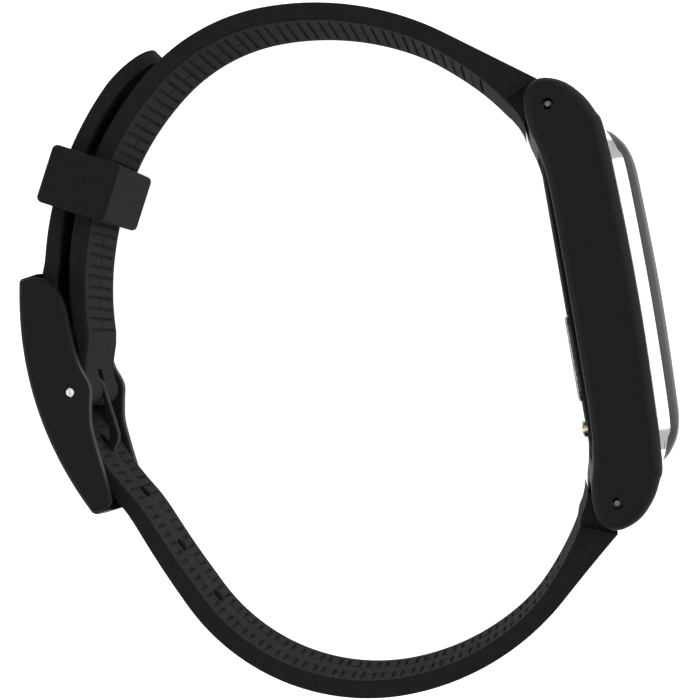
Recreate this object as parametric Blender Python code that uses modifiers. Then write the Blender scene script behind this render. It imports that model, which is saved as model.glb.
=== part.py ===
"""Fitness tracker band: a tracker module in a cradle, two straps on spring bars, a keeper and a buckle.

The band lies buckled on its side. +Z runs along the wrist, +X points out of the display, and +Y runs along
the cradle from the lower lug to the upper lug. The origin is on the side face that the cradle rests on,
midway between its two spring bars. Every size below is in millimetres, and MM turns it into metres.
"""

import math

import bmesh
import bpy
from mathutils import Matrix, Vector

MM = 0.001

# Clearances
FIT_GAP = 0.2  # between the module and the cradle, all round
FACE_GAP = 0.1  # between pieces that are stacked face to face
PIN_GAP = 0.06  # between a pin or bar and its bore, in radius
RUN_GAP = 0.3  # between the lower strap and what it runs past
MOUTH_GAP = 0.85  # between the lower strap and the buckle where it goes in
SIDE_GAP = 0.2  # between a strap's edge and a lug

# Straps
STRAP_WIDTH = 18.0
STRAP_THICKNESS = 1.9
TAIL_THICKNESS = 1.6  # both straps thin to this at the buckle
TAPER_LENGTH = 12.0
LUG_SWELL = 2.45  # extra thickness of a strap at its lug
SWELL_LENGTH = 16.0
END_SLANT = 1.9  # how much further along the strap its inner face starts
TAB_INSET = 0.5  # the tab between the lugs is this much narrower on each side
EYE_RADIUS = 2.0
EYE_CLEARANCE = 0.6
STRAP_EDGE = 0.3
# Each bend is a length and the angle it turns through, along the outer face.
UPPER_START, UPPER_HEADING = (-0.6, 3.1), 143.3
UPPER_BENDS = ((10.9, 0.0), (20.1, 37.1), (13.5, 36.5), (32.7, 57.3))
LOWER_START, LOWER_HEADING = (-0.4, -3.4), 220.1
LOWER_BENDS = ((9.0, 2.1), (19.2, -39.8), (27.1, -66.1), (8.6, -4.4))
# The skirt fills the corner between a strap's inner face and the cradle, measured from the spring bar.
SKIRT = ((-3.8, 0.8), (-3.2, -0.2), (-2.8, -1.2), (-2.65, -2.1), (-2.6, -0.95), (-2.35, -0.6))
TAIL_GAP = 1.05  # between the tail and the upper strap
TAIL_REACH = 34.0  # how far the tail runs back along the upper strap
TIP_LENGTH = 8.0  # over which the tip is rounded
HOLE_PITCH = 7.0
HOLE_LENGTH, HOLE_WIDTH = 1.5, 3.0
HOLE_STRETCH = 0.9  # the tongue stretches the hole it is in by this much
HOLES_BEFORE, HOLES_AFTER = 3, 5  # on the lug side and the tip side of the one in use
STATION = 1.6  # spacing of the points along a strap

# Cradle
LUG_WALL = 2.5
SIDE_WALL = 2.6
END_WALL = 1.6
LUG_HOLE_RADIUS = 0.575
SLOT_SHOULDER = 5  # degrees by which the slot's round end stops short of a half turn
CRADLE_FRONT, CRADLE_BACK = 5.85, -1.15
# Half of the cradle's outline, measured from the spring bar, from the front round the lug to the back.
CRADLE_OUTLINE = (
    (5.76, -11.7), (5.4, -3.5), (4.8, -1.5), (3.7, 0.5), (1.9, 2.2), (-0.4, 2.85),
    (-2.1, 1.8), (-2.45, -0.2), (-2.3, -2.2), (-1.7, -4.7), (-1.25, -9.1),
)
CRADLE_EDGE, CRADLE_BACK_EDGE = 1.4, 0.45

# Tracker module
BODY_LENGTH = 33.4
BODY_CORNER = 3.0
RIM_OVERHANG = 1.05  # the bezel and the glass cover this much of the cradle all round
HOUSING_BACK, HOUSING_TOP = -1.55, 4.4
HOUSING_WALL = 0.9
SEAL_WIDTH, SEAL_HEIGHT = 0.6, 0.4
BEZEL_WALL = 1.3
# Half of each line from the module's middle to its end, with Y measured from the end of the rim.
GLASS_LINE = ((8.1, -6.6), (7.9, -4.0), (7.4, -2.2), (6.6, -0.8), (5.85, 0.1))
BEZEL_LINE = ((6.95, -4.8), (6.4, -2.4), (5.9, -0.8), (5.56, 0.1))
GLASS_TOP, BEZEL_TOP, BEZEL_BASE = 8.35, 7.2, 5.98  # at the middle
BASE_DROP = 0.5  # how far the bezel's underside, like the cradle, has fallen at the ends
DISPLAY_BACK, DISPLAY_THICKNESS = 5.4, 1.1
BOARD_BACK, BOARD_THICKNESS = 3.3, 0.6
SHIELD_SIZE = (0.9, 11.0, 9.0)
SHIELD_CENTRE = (3.5, 0.0)
MOTION_SENSOR_SIZE = (0.8, 2.5, 3.0)
BATTERY_SIZE = (2.9, 13.5, 13.4)
MOTOR_RADIUS, MOTOR_HEIGHT = 3.0, 2.4
MOTOR_CENTRE = (-12.6, 5.0)
SENSOR_BOARD_THICKNESS = 0.4
SENSOR_BOARD_SIZE = (7.6, 8.0)
SENSOR_CENTRE = -5.6
WINDOW_SIZE = (9.4, 8.6)
WINDOW_RISE = 0.45
LED_SIZE = (0.35, 1.2, 1.6)
LED_SPACING = 5.0
PHOTODIODE_SIZE = (0.35, 2.2, 2.4)
CONTACT_RADIUS = 0.8
CONTACT_CENTRE, CONTACT_SPACING = -13.3, 4.0
CONTACT_RISE, CONTACT_DEPTH = 0.6, 1.6
FLEX_THICKNESS, FLEX_WIDTH = 0.12, 4.0

# Spring bars
TUBE_RADIUS, TUBE_BORE = 0.75, 0.6
TUBE_LIP, TUBE_LIP_LENGTH = 0.46, 0.5
TUBE_END_GAP = 0.3
TIP_PIN_RADIUS, TIP_HEAD_RADIUS = 0.4, 0.53
TIP_HEAD_LENGTH = 2.4
TIP_RECESS = 0.2
TIP_SETBACK = 0.2  # from the head of a tip to the lip of its tube
COIL_WIRE, COIL_TURNS = 0.08, 8

# Buckle, keeper and tongue. Along and out are measured from the buckle's pin.
PIN_ALONG, PIN_OUT = 4.0, 1.3  # from the end of the upper strap's route
BUCKLE_TILT = 4.0
BUCKLE_HALF_LENGTH = 12.9
BUCKLE_END_OUT, BUCKLE_BOW = 1.3, 2.3
ARM_WIDTH = 2.1
ARM_INNER = (
    (12.75, 0.0), (12.0, -1.2), (10.4, -1.9), (8.6, -2.05), (5.0, -1.72), (2.4, -1.7), (0.0, -2.1),
    (-2.0, -1.5), (-4.0, -0.95), (-7.0, -0.8), (-10.0, -0.75), (-12.0, -0.6), (-12.8, 0.1),
)
CROSSBAR_LENGTH, CROSSBAR_THICKNESS = 5.4, 1.4
BUCKLE_EDGE = 0.3
BUCKLE_END_BOW = 0.45  # how far the crossbars bow out past the arms
KNUCKLE_RADIUS = 1.7
NOTCH_RADIUS = 2.65
PIN_RADIUS = 0.5
SLOT_WIDTH, SLOT_DEPTH = 0.2, 0.25
TONGUE_WIDTH, NOTCH_WIDTH = 2.0, 2.6
TONGUE_FACE, TONGUE_THICKNESS = 2.2, 1.0
HOOK_RADIUS, HOOK_THICKNESS = 6.6, 0.9
HOOK_REACH = 2.0
TONGUE_EDGE = 0.15
KEEPER_STATION = 18.2  # from the end of the upper strap's route
KEEPER_LENGTH, KEEPER_WALL, KEEPER_SIDE = 6.4, 1.2, 2.0
KEEPER_GAP = 0.15
KEEPER_SLACK = 0.35  # more room on the wrist side of the upper strap
KEEPER_EDGE = 0.5

# Derived from the sizes above
HALF_STRAP = STRAP_WIDTH / 2
HALF_LUG_GAP = HALF_STRAP + SIDE_GAP
HALF_WIDTH = HALF_LUG_GAP + LUG_WALL
HALF_BODY_WIDTH = HALF_WIDTH - SIDE_WALL - FIT_GAP
HALF_BODY = BODY_LENGTH / 2
SLOT_RADIUS = EYE_RADIUS + EYE_CLEARANCE
HALF_BARS = HALF_BODY + FIT_GAP + END_WALL + SLOT_RADIUS
MIDDLE = HALF_WIDTH  # height of the band's middle above the face it rests on

PARTS = "fitness_tracker_band"
CUTTERS = "cutters"


# Scene and materials


def clear_scene():
    for obj in list(bpy.data.objects):
        bpy.data.objects.remove(obj, do_unlink=True)


def collection(name):
    found = bpy.data.collections.get(name)
    if found is None:
        found = bpy.data.collections.new(name)
        bpy.context.scene.collection.children.link(found)
    return found


def material(name, color, roughness, metallic=0.0):
    made = bpy.data.materials.get(name)
    if made is None:
        made = bpy.data.materials.new(name)
        made.use_nodes = True
        shader = made.node_tree.nodes["Principled BSDF"]
        shader.inputs["Base Color"].default_value = (*color, 1.0)
        shader.inputs["Roughness"].default_value = roughness
        shader.inputs["Metallic"].default_value = metallic
    return made


def rubber():
    return material("black_rubber", (0.012, 0.012, 0.013), 0.6)


def black_plastic():
    return material("black_plastic", (0.010, 0.010, 0.011), 0.45)


def chrome():
    return material("polished_metal", (0.80, 0.80, 0.81), 0.12, 1.0)


def steel():
    return material("steel", (0.55, 0.55, 0.56), 0.3, 1.0)


def dark_glass():
    return material("dark_glass", (0.04, 0.04, 0.045), 0.05)


def board():
    return material("circuit_board", (0.02, 0.09, 0.05), 0.5)


def shield_metal():
    return material("tinned_metal", (0.60, 0.60, 0.62), 0.35, 1.0)


def gold():
    return material("gold_plate", (0.83, 0.60, 0.28), 0.25, 1.0)


def silver_foil():
    return material("battery_foil", (0.50, 0.51, 0.53), 0.4, 0.6)


def flex_film():
    return material("flex_film", (0.45, 0.22, 0.05), 0.4)


def led_lens():
    return material("led_lens", (0.25, 0.65, 0.30), 0.2)


# Outlines


def arc(centre, radius, start, end, count):
    """Points on an arc, with its angles in degrees, anticlockwise where end is above start."""
    angles = [math.radians(start + (end - start) * i / count) for i in range(count + 1)]
    return [(centre[0] + radius * math.cos(a), centre[1] + radius * math.sin(a)) for a in angles]


def rounded_rectangle(length, width, radius, count=4):
    """An outline centred on the origin."""
    x, y = length / 2 - radius, width / 2 - radius
    corners = (((x, y), 0), ((-x, y), 90), ((-x, -y), 180), ((x, -y), 270))
    return [p for centre, start in corners for p in arc(centre, radius, start, start + 90, count)]


def spline(points, steps, closed=False):
    """A Catmull-Rom curve through the points, with this many steps between each two."""
    count = len(points)
    spans = count if closed else count - 1
    drawn = []
    for i in range(spans):
        if closed:
            a, b, c, d = (points[(i + k) % count] for k in (-1, 0, 1, 2))
        else:
            a, b, c, d = (points[min(max(i + k, 0), count - 1)] for k in (-1, 0, 1, 2))
        for step in range(steps):
            t = step / steps
            weights = (
                -0.5 * t + t**2 - 0.5 * t**3,
                1 - 2.5 * t**2 + 1.5 * t**3,
                0.5 * t + 2 * t**2 - 1.5 * t**3,
                -0.5 * t**2 + 0.5 * t**3,
            )
            drawn.append(tuple(sum(w * p[k] for w, p in zip(weights, (a, b, c, d))) for k in (0, 1)))
    return drawn if closed else drawn + [tuple(points[-1])]


def moved(points, offset):
    return [(x + offset[0], y + offset[1]) for x, y in points]


def mirrored(points):
    """The same points with the second coordinate turned round."""
    return [(x, -y) for x, y in points]


class Route:
    """A curve in the XY plane that is known by its points, with its length measured along it."""

    def __init__(self, points):
        self.points = [Vector(p) for p in points]
        self.along = [0.0]
        for a, b in zip(self.points, self.points[1:]):
            self.along.append(self.along[-1] + (b - a).length)
        self.length = self.along[-1]

    def at(self, distance):
        """The point at this distance, and the direction there."""
        distance = min(max(distance, 0.0), self.length)
        i = next(k for k in range(1, len(self.along)) if self.along[k] >= distance - 1e-9)
        a, b = self.points[i - 1], self.points[i]
        share = (distance - self.along[i - 1]) / (self.along[i] - self.along[i - 1])
        return a.lerp(b, share), (b - a).normalized()

    def beside(self, distance, offset):
        """A point at this distance along the route and this far to its left."""
        point, ahead = self.at(distance)
        return point + Vector((-ahead.y, ahead.x)) * offset

    def where(self, offset, centre, radius):
        """The first distance at which a point this far to the route's left is inside the circle."""
        return next(d for d in self.along if (self.beside(d, offset) - centre).length < radius)

    def stations(self, spacing, start=0.0):
        count = max(2, round((self.length - start) / spacing))
        return [start + (self.length - start) * i / count for i in range(count + 1)]

    def nearest(self, target):
        """The distance along the route of its point nearest to the target."""
        best = min(range(len(self.points)), key=lambda i: (self.points[i] - Vector(target)).length)
        return self.along[best]


def bent_path(start, heading, bends, step=0.4):
    """Points along runs that each have a length and turn through an angle."""
    point, angle = Vector(start), math.radians(heading)
    points = [point.copy()]
    for length, turn in bends:
        count = math.ceil(length / step)
        change = math.radians(turn) / count
        for _ in range(count):
            middle = angle + change / 2
            point = point + Vector((math.cos(middle), math.sin(middle))) * length / count
            angle += change
            points.append(point.copy())
    return points


def blend(a, a_ahead, b, b_ahead, count):
    """Points between a and b on a cubic that leaves and arrives in the given directions."""
    reach = (b - a).length
    points = []
    for i in range(1, count):
        t = i / count
        points.append(
            a * (2 * t**3 - 3 * t**2 + 1)
            + a_ahead * reach * (t**3 - 2 * t**2 + t)
            + b * (3 * t**2 - 2 * t**3)
            + b_ahead * reach * (t**3 - t**2)
        )
    return points


# The routes of the straps' outer faces, and the buckle's own frame


def upper_route():
    start = (UPPER_START[0], HALF_BARS + UPPER_START[1])
    return Route(bent_path(start, UPPER_HEADING, UPPER_BENDS))


class BuckleFrame:
    """Turns distances along and out from the buckle's pin into XY positions."""

    def __init__(self, route):
        end, ahead = route.at(route.length)
        out = Vector((ahead.y, -ahead.x))
        self.pin = end + ahead * PIN_ALONG + out * PIN_OUT
        tilt = Matrix.Rotation(math.radians(BUCKLE_TILT), 2)
        self.up = tilt @ -ahead
        self.out = tilt @ out

    def place(self, along, out):
        return self.pin + self.up * along + self.out * out

    def outline(self, points):
        return [tuple(self.place(*p)) for p in points]


def buckle_outer(along):
    """How far out from the pin the buckle's outer face is."""
    return BUCKLE_END_OUT + BUCKLE_BOW * (1 - (along / BUCKLE_HALF_LENGTH) ** 2)


def threaded_outer(along):
    """How far out the lower strap's outer face is: under the crossbars, and out over the knuckle between."""
    window = BUCKLE_HALF_LENGTH - CROSSBAR_LENGTH
    entry = max((-along - window) / CROSSBAR_LENGTH, 0.0)
    under = buckle_outer(along) - CROSSBAR_THICKNESS - RUN_GAP - (MOUTH_GAP - RUN_GAP) * entry
    over = KNUCKLE_RADIUS + RUN_GAP + TAIL_THICKNESS
    rise = over - (buckle_outer(0) - CROSSBAR_THICKNESS - RUN_GAP)
    share = min(abs(along) / window, 1.0)
    return under + rise * (0.5 + 0.5 * math.cos(math.pi * share))


def lower_route(upper, frame):
    """From the lower lug round to the buckle, through it, and back along the upper strap to the tip."""
    start = (LOWER_START[0], -HALF_BARS + LOWER_START[1])
    points = bent_path(start, LOWER_HEADING, LOWER_BENDS)
    span = BUCKLE_HALF_LENGTH
    steps = 24
    through = []
    for i in range(steps + 1):
        along = -span + 2 * span * i / steps
        through.append(frame.place(along, threaded_outer(along)))
    offset = -(TAIL_GAP + TAIL_THICKNESS)
    join = upper.nearest(frame.place(span + TAIL_THICKNESS, -TAIL_GAP))
    tip = upper.length - TAIL_REACH
    count = max(8, round((join - tip) / STATION))
    tail = [upper.beside(join + (tip - join) * i / count, offset) for i in range(count + 1)]
    ahead = (points[-1] - points[-2]).normalized()
    into = (through[1] - through[0]).normalized()
    points += blend(points[-1], ahead, through[0], into, 8)
    points += through
    out_of = (through[-1] - through[-2]).normalized()
    along_tail = (tail[1] - tail[0]).normalized()
    points += blend(through[-1], out_of, tail[0], along_tail, 4)
    return Route(points + tail)


# Objects


def add(name, mesh, finish, into=PARTS):
    obj = bpy.data.objects.new(name, mesh)
    collection(into).objects.link(obj)
    if finish is not None:
        mesh.materials.clear()
        mesh.materials.append(finish)
    if into == CUTTERS:
        obj.hide_render = True
        obj.display_type = "WIRE"
    return obj


def mesh_from(name, bm):
    bmesh.ops.recalc_face_normals(bm, faces=bm.faces)
    mesh = bpy.data.meshes.new(name)
    bm.to_mesh(mesh)
    bm.free()
    return mesh


def flat_curve(name, outline, thickness):
    """A filled 2D curve with this outline, in metres."""
    curve = bpy.data.curves.new(name, "CURVE")
    curve.dimensions = "2D"
    curve.fill_mode = "BOTH"
    curve.extrude = thickness / 2 * MM
    line = curve.splines.new("POLY")
    line.points.add(len(outline) - 1)
    for point, (x, y) in zip(line.points, outline):
        point.co = (x * MM, y * MM, 0.0, 1.0)
    line.use_cyclic_u = True
    return curve


def plate_mesh(name, outline, thickness, placed):
    """The mesh of a flat outline of this thickness, with its middle plane put at the matrix."""
    guide = bpy.data.objects.new(name + "_outline", flat_curve(name, outline, thickness))
    collection(CUTTERS).objects.link(guide)
    graph = bpy.context.evaluated_depsgraph_get()
    mesh = bpy.data.meshes.new_from_object(guide.evaluated_get(graph))
    curve = guide.data
    bpy.data.objects.remove(guide)
    bpy.data.curves.remove(curve)
    bm = bmesh.new()
    bm.from_mesh(mesh)
    bpy.data.meshes.remove(mesh)
    bmesh.ops.remove_doubles(bm, verts=bm.verts, dist=1e-7)
    bmesh.ops.transform(bm, matrix=placed, verts=bm.verts)
    return mesh_from(name, bm)


def upright(low, high):
    """Puts a plate's outline in the XY plane, between two heights from the band's middle."""
    return Matrix.Translation((0, 0, (MIDDLE + (low + high) / 2) * MM))


def facing(low, high, centre=(0.0, 0.0)):
    """Puts a plate's outline in the YZ plane, with its centre there, between two values of X."""
    turn = Matrix(((0, 0, 1, 0), (1, 0, 0, 0), (0, 1, 0, 0), (0, 0, 0, 1)))
    place = Vector(((low + high) / 2, centre[0], MIDDLE + centre[1])) * MM
    return Matrix.Translation(place) @ turn


def plate(name, outline, low, high, finish, into=PARTS):
    """An XY outline between two heights, measured from the band's middle."""
    return add(name, plate_mesh(name, outline, high - low, upright(low, high)), finish, into)


def inset(outline, edge):
    """The outline, anticlockwise, moved in by a size or by a function of the point."""
    moved_in = []
    for before, here, after in zip(outline[-1:] + outline[:-1], outline, outline[1:] + outline[:1]):
        back = (Vector(here) - Vector(before)).normalized()
        ahead = (Vector(after) - Vector(here)).normalized()
        inward = Vector((-back.y - ahead.y, back.x + ahead.x)).normalized()
        lean = max(inward.dot(Vector((-ahead.y, ahead.x))), 0.5)
        amount = edge(*here) if callable(edge) else edge
        moved_in.append(tuple(Vector(here) + inward * amount / lean))
    return moved_in


def soft_plate(name, outline, low, high, finish, edge, into=PARTS, steps=2):
    """An XY outline between two heights from the band's middle, with both its rims rounded."""
    if sum(a[0] * b[1] - b[0] * a[1] for a, b in zip(outline, outline[1:] + outline[:1])) < 0:
        outline = outline[::-1]
    turns = [math.pi / 2 * i / steps for i in range(steps + 1)]
    layers = []
    for side in (-1, 1):
        rings = []
        for turn in turns:
            ring = inset(outline, lambda x, y: (1 - math.sin(turn)) * (edge(x, y) if callable(edge) else edge))
            sizes = [edge(*p) if callable(edge) else edge for p in outline]
            end = high if side > 0 else low
            rings.append([(x, y, end - side * size * (1 - math.cos(turn))) for (x, y), size in zip(ring, sizes)])
        layers += rings if side < 0 else rings[::-1]
    bm = bmesh.new()
    loops = [[bm.verts.new((x * MM, y * MM, (z + MIDDLE) * MM)) for x, y, z in ring] for ring in layers]
    bm.faces.new(loops[0])
    bm.faces.new(loops[-1])
    count = len(outline)
    for below, above in zip(loops, loops[1:]):
        for i in range(count):
            j = (i + 1) % count
            bm.faces.new((below[i], below[j], above[j], above[i]))
    return add(name, mesh_from(name, bm), finish, into)


def wall(name, outline, low, high, finish, centre=(0.0, 0.0), into=PARTS):
    """A YZ outline between two values of X."""
    return add(name, plate_mesh(name, outline, high - low, facing(low, high, centre)), finish, into)


def box(name, size, centre, finish, into=PARTS):
    """A box with its centre at an X, a Y, and a height from the band's middle."""
    bm = bmesh.new()
    bmesh.ops.create_cube(bm, size=1.0)
    bmesh.ops.scale(bm, vec=Vector(size) * MM, verts=bm.verts)
    bmesh.ops.translate(bm, vec=Vector((centre[0], centre[1], MIDDLE + centre[2])) * MM, verts=bm.verts)
    return add(name, mesh_from(name, bm), finish, into)


def rod(name, centre, radius, low, high, finish, into=PARTS, sides=24):
    """A round bar along Z at an XY centre, between two heights from the band's middle."""
    bm = bmesh.new()
    place = Matrix.Translation(Vector((centre[0], centre[1], MIDDLE + (low + high) / 2)) * MM)
    bmesh.ops.create_cone(
        bm, cap_ends=True, segments=sides, radius1=radius * MM, radius2=radius * MM, depth=(high - low) * MM,
        matrix=place,
    )
    return add(name, mesh_from(name, bm), finish, into)


def stud(name, radius, low, high, centre, finish, into=PARTS, sides=20):
    """A round bar along X at a YZ centre, between two values of X."""
    bm = bmesh.new()
    bmesh.ops.create_cone(
        bm, cap_ends=True, segments=sides, radius1=radius * MM, radius2=radius * MM, depth=(high - low) * MM,
        matrix=facing(low, high, centre),
    )
    return add(name, mesh_from(name, bm), finish, into)


def turned(name, profile, centre, finish):
    """A profile of radii and heights turned about Z at an XY centre, with heights from the band's middle."""
    bm = bmesh.new()
    points = [bm.verts.new((radius * MM, 0.0, height * MM)) for radius, height in profile]
    for a, b in zip(points, points[1:] + points[:1]):
        if a.co.x > 0 or b.co.x > 0:
            bm.edges.new((a, b))
    mesh = bpy.data.meshes.new(name)
    bm.to_mesh(mesh)
    bm.free()
    obj = add(name, mesh, finish)
    obj.location = (centre[0] * MM, centre[1] * MM, MIDDLE * MM)
    screw = obj.modifiers.new("Turn", "SCREW")
    screw.steps = screw.render_steps = 16
    screw.use_merge_vertices = True
    screw.merge_threshold = 1e-6
    screw.use_smooth_shade = True
    return obj


def boolean(obj, other, operation):
    change = obj.modifiers.new(operation.title(), "BOOLEAN")
    change.operation = operation
    change.object = other


def cut(obj, cutter):
    boolean(obj, cutter, "DIFFERENCE")


def join(obj, other):
    boolean(obj, other, "UNION")


def round_edges(obj, width, segments=2, angle=35.0):
    bevel = obj.modifiers.new("Edges", "BEVEL")
    bevel.width = width * MM
    bevel.segments = segments
    bevel.limit_method = "ANGLE"
    bevel.angle_limit = math.radians(angle)


def smooth(obj, angle=40.0):
    obj.data.shade_smooth()
    obj.data.set_sharp_from_angle(angle=math.radians(angle))


def set_origin(obj, x, y, height=0.0):
    """Moves the object's origin to a joint's axis, and leaves its shape where it is."""
    place = Vector((x, y, MIDDLE + height)) * MM
    obj.data.transform(Matrix.Translation(obj.location - place))
    obj.location = place


# Cradle


def cradle_outline():
    half = [(x, y + HALF_BARS) for x, y in CRADLE_OUTLINE]
    lower = mirrored(half)[::-1]
    return spline([(CRADLE_FRONT, 0.0)] + half + [(CRADLE_BACK, 0.0)] + lower, 3, closed=True)


def cradle_edge(x, y):
    """The cradle's rims are well rounded towards the display and less so towards the wrist."""
    share = min(max((x - CRADLE_BACK) / (CRADLE_FRONT - CRADLE_BACK) * 1.5, 0.0), 1.0)
    return CRADLE_BACK_EDGE + (CRADLE_EDGE - CRADLE_BACK_EDGE) * share


def cradle_frame():
    frame = soft_plate(
        "cradle_frame", cradle_outline(), -HALF_WIDTH, HALF_WIDTH, black_plastic(), cradle_edge, steps=3
    )
    pocket = rounded_rectangle(
        BODY_LENGTH + 2 * FIT_GAP, 2 * (HALF_BODY_WIDTH + FIT_GAP), BODY_CORNER + FIT_GAP
    )
    reach = 2 * HALF_WIDTH
    cut(frame, wall("pocket", pocket, -reach, reach, None, into=CUTTERS))
    for side, name in ((1, "upper"), (-1, "lower")):
        bar = (0.0, side * HALF_BARS)
        turn = 0 if side > 0 else 180
        slot = arc(bar, SLOT_RADIUS, turn - SLOT_SHOULDER, turn - 180 + SLOT_SHOULDER, 16)
        away = side * reach
        slot += [(-away, bar[1]), (-away, bar[1] + away), (away, bar[1] + away), (away, bar[1])]
        cut(frame, plate(name + "_slot", slot, -HALF_LUG_GAP, HALF_LUG_GAP, None, CUTTERS))
        cut(frame, rod(name + "_lug_hole", bar, LUG_HOLE_RADIUS, -reach, reach, None, CUTTERS))
    smooth(frame)
    return frame


# Tracker module


def body_plan(inset=0.0):
    corner = max(BODY_CORNER - inset, 0.5)
    return rounded_rectangle(BODY_LENGTH - 2 * inset, 2 * (HALF_BODY_WIDTH - inset), corner)


def rim_plan(inset=0.0):
    return body_plan(inset - RIM_OVERHANG)


def rim_line(top, half_line, shift=0.0):
    """A line over the module from end to end, in X and Y, symmetric about its middle."""
    end = HALF_BODY + RIM_OVERHANG
    half = [(x + shift, y + end) for x, y in half_line]
    return spline(mirrored(half)[::-1] + [(top + shift, 0.0)] + half, 4)


def base_line(steps=12):
    """The bezel's underside, which follows the cradle's front."""
    end = HALF_BODY + RIM_OVERHANG + FACE_GAP
    stations = [-1 + 2 * i / steps for i in range(steps + 1)]
    return [(BEZEL_BASE - BASE_DROP * t**2, t * end) for t in stations]


def between(name, lower, upper):
    """A cutter across the whole band, between two lines that run from end to end of the module."""
    return plate(name, lower + upper[::-1], -HALF_WIDTH, HALF_WIDTH, None, CUTTERS)


def module_bezel():
    bezel = wall("module_bezel", rim_plan(), HOUSING_TOP, GLASS_TOP, chrome())
    boolean(bezel, between("bezel_profile", base_line(), rim_line(BEZEL_TOP, BEZEL_LINE)), "INTERSECT")
    foot = HOUSING_TOP + SEAL_HEIGHT + 2 * FACE_GAP
    spigot = wall("bezel_spigot", body_plan(), foot, BEZEL_BASE + FACE_GAP, None, into=CUTTERS)
    boolean(spigot, between("spigot_profile", rim_line(0.0, ((0.0, 0.1),)), rim_line(BEZEL_TOP, BEZEL_LINE, -FACE_GAP)), "INTERSECT")
    join(bezel, spigot)
    hollow = wall("bezel_hollow", body_plan(BEZEL_WALL), foot - 1, GLASS_TOP + 1, None, into=CUTTERS)
    cut(bezel, hollow)
    smooth(bezel)
    return bezel


def cover_glass():
    glass = wall("cover_glass", rim_plan(), HOUSING_TOP, GLASS_TOP + 1, dark_glass())
    lower = rim_line(BEZEL_TOP, BEZEL_LINE, FACE_GAP)
    upper = rim_line(GLASS_TOP, GLASS_LINE)
    boolean(glass, between("glass_profile", lower, upper), "INTERSECT")
    smooth(glass)
    return glass


def module_housing():
    housing = wall("module_housing", body_plan(), HOUSING_BACK, HOUSING_TOP, black_plastic())
    round_edges(housing, 0.4)
    floor = HOUSING_BACK + HOUSING_WALL
    cut(housing, wall("housing_hollow", body_plan(HOUSING_WALL), floor, HOUSING_TOP + 1, None, into=CUTTERS))
    opening = rounded_rectangle(WINDOW_SIZE[0] + 2 * FACE_GAP, WINDOW_SIZE[1] + 2 * FACE_GAP, 1.5)
    centre = (SENSOR_CENTRE, 0.0)
    cut(housing, wall("window_opening", opening, HOUSING_BACK - 1, floor + 1, None, centre, CUTTERS))
    for side, end in ((1, "near"), (-1, "far")):
        centre = (CONTACT_CENTRE, side * CONTACT_SPACING / 2)
        radius = CONTACT_RADIUS + PIN_GAP
        cut(housing, stud("contact_hole_" + end, radius, HOUSING_BACK - 1, floor + 1, centre, None, CUTTERS))
    smooth(housing)
    return housing


def module_seal():
    low = HOUSING_TOP + FACE_GAP
    seal = wall("module_seal", body_plan(0.15), low, low + SEAL_HEIGHT, rubber())
    cut(seal, wall("seal_hollow", body_plan(0.15 + SEAL_WIDTH), low - 1, low + 2, None, into=CUTTERS))
    return seal


def display_panel():
    plan = body_plan(BEZEL_WALL + FIT_GAP)
    panel = wall("display_panel", plan, DISPLAY_BACK, DISPLAY_BACK + DISPLAY_THICKNESS, dark_glass())
    return panel


def main_board():
    plan = body_plan(HOUSING_WALL + FIT_GAP)
    return wall("main_board", plan, BOARD_BACK, BOARD_BACK + BOARD_THICKNESS, board())


def on_board(name, size, centre, finish):
    """A piece that sits on the display side of the main board."""
    x = BOARD_BACK + BOARD_THICKNESS + FACE_GAP + size[0] / 2
    return box(name, size, (x, *centre), finish)


def battery():
    x = BOARD_BACK - FACE_GAP - BATTERY_SIZE[0] / 2 - 0.1
    y = HALF_BODY - HOUSING_WALL - FIT_GAP - 0.6 - BATTERY_SIZE[1] / 2
    pack = box("battery", BATTERY_SIZE, (x, y, 0.0), silver_foil())
    round_edges(pack, 0.5)
    return pack


def vibration_motor():
    low = HOUSING_BACK + HOUSING_WALL + FIT_GAP
    centre = MOTOR_CENTRE
    return stud("vibration_motor", MOTOR_RADIUS, low, low + MOTOR_HEIGHT, centre, steel(), sides=24)


def sensor_window():
    low = HOUSING_BACK - WINDOW_RISE
    outline = rounded_rectangle(*WINDOW_SIZE, 1.4)
    window = wall(
        "sensor_window", outline, low, HOUSING_BACK + HOUSING_WALL - FACE_GAP, dark_glass(), (SENSOR_CENTRE, 0.0)
    )
    return window


def sensor_stack():
    """The optical sensor's board, with its two lights and the photodiode between them."""
    window_top = HOUSING_BACK + HOUSING_WALL - FACE_GAP
    low = window_top + FACE_GAP
    for side, end in ((1, "upper"), (-1, "lower")):
        centre = (low + LED_SIZE[0] / 2, SENSOR_CENTRE + side * LED_SPACING / 2, 0.0)
        box("sensor_led_" + end, LED_SIZE, centre, led_lens())
    box("photodiode", PHOTODIODE_SIZE, (low + PHOTODIODE_SIZE[0] / 2, SENSOR_CENTRE, 0.0), dark_glass())
    under_board = low + LED_SIZE[0] + FACE_GAP
    size = (SENSOR_BOARD_THICKNESS, *SENSOR_BOARD_SIZE)
    box("sensor_board", size, (under_board + SENSOR_BOARD_THICKNESS / 2, SENSOR_CENTRE, 0.0), board())
    return under_board + SENSOR_BOARD_THICKNESS


def charge_contacts():
    low = HOUSING_BACK - CONTACT_RISE
    for side, end in ((1, "near"), (-1, "far")):
        centre = (CONTACT_CENTRE, side * CONTACT_SPACING / 2)
        stud("charge_contact_" + end, CONTACT_RADIUS, low, low + CONTACT_DEPTH, centre, gold())


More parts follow.
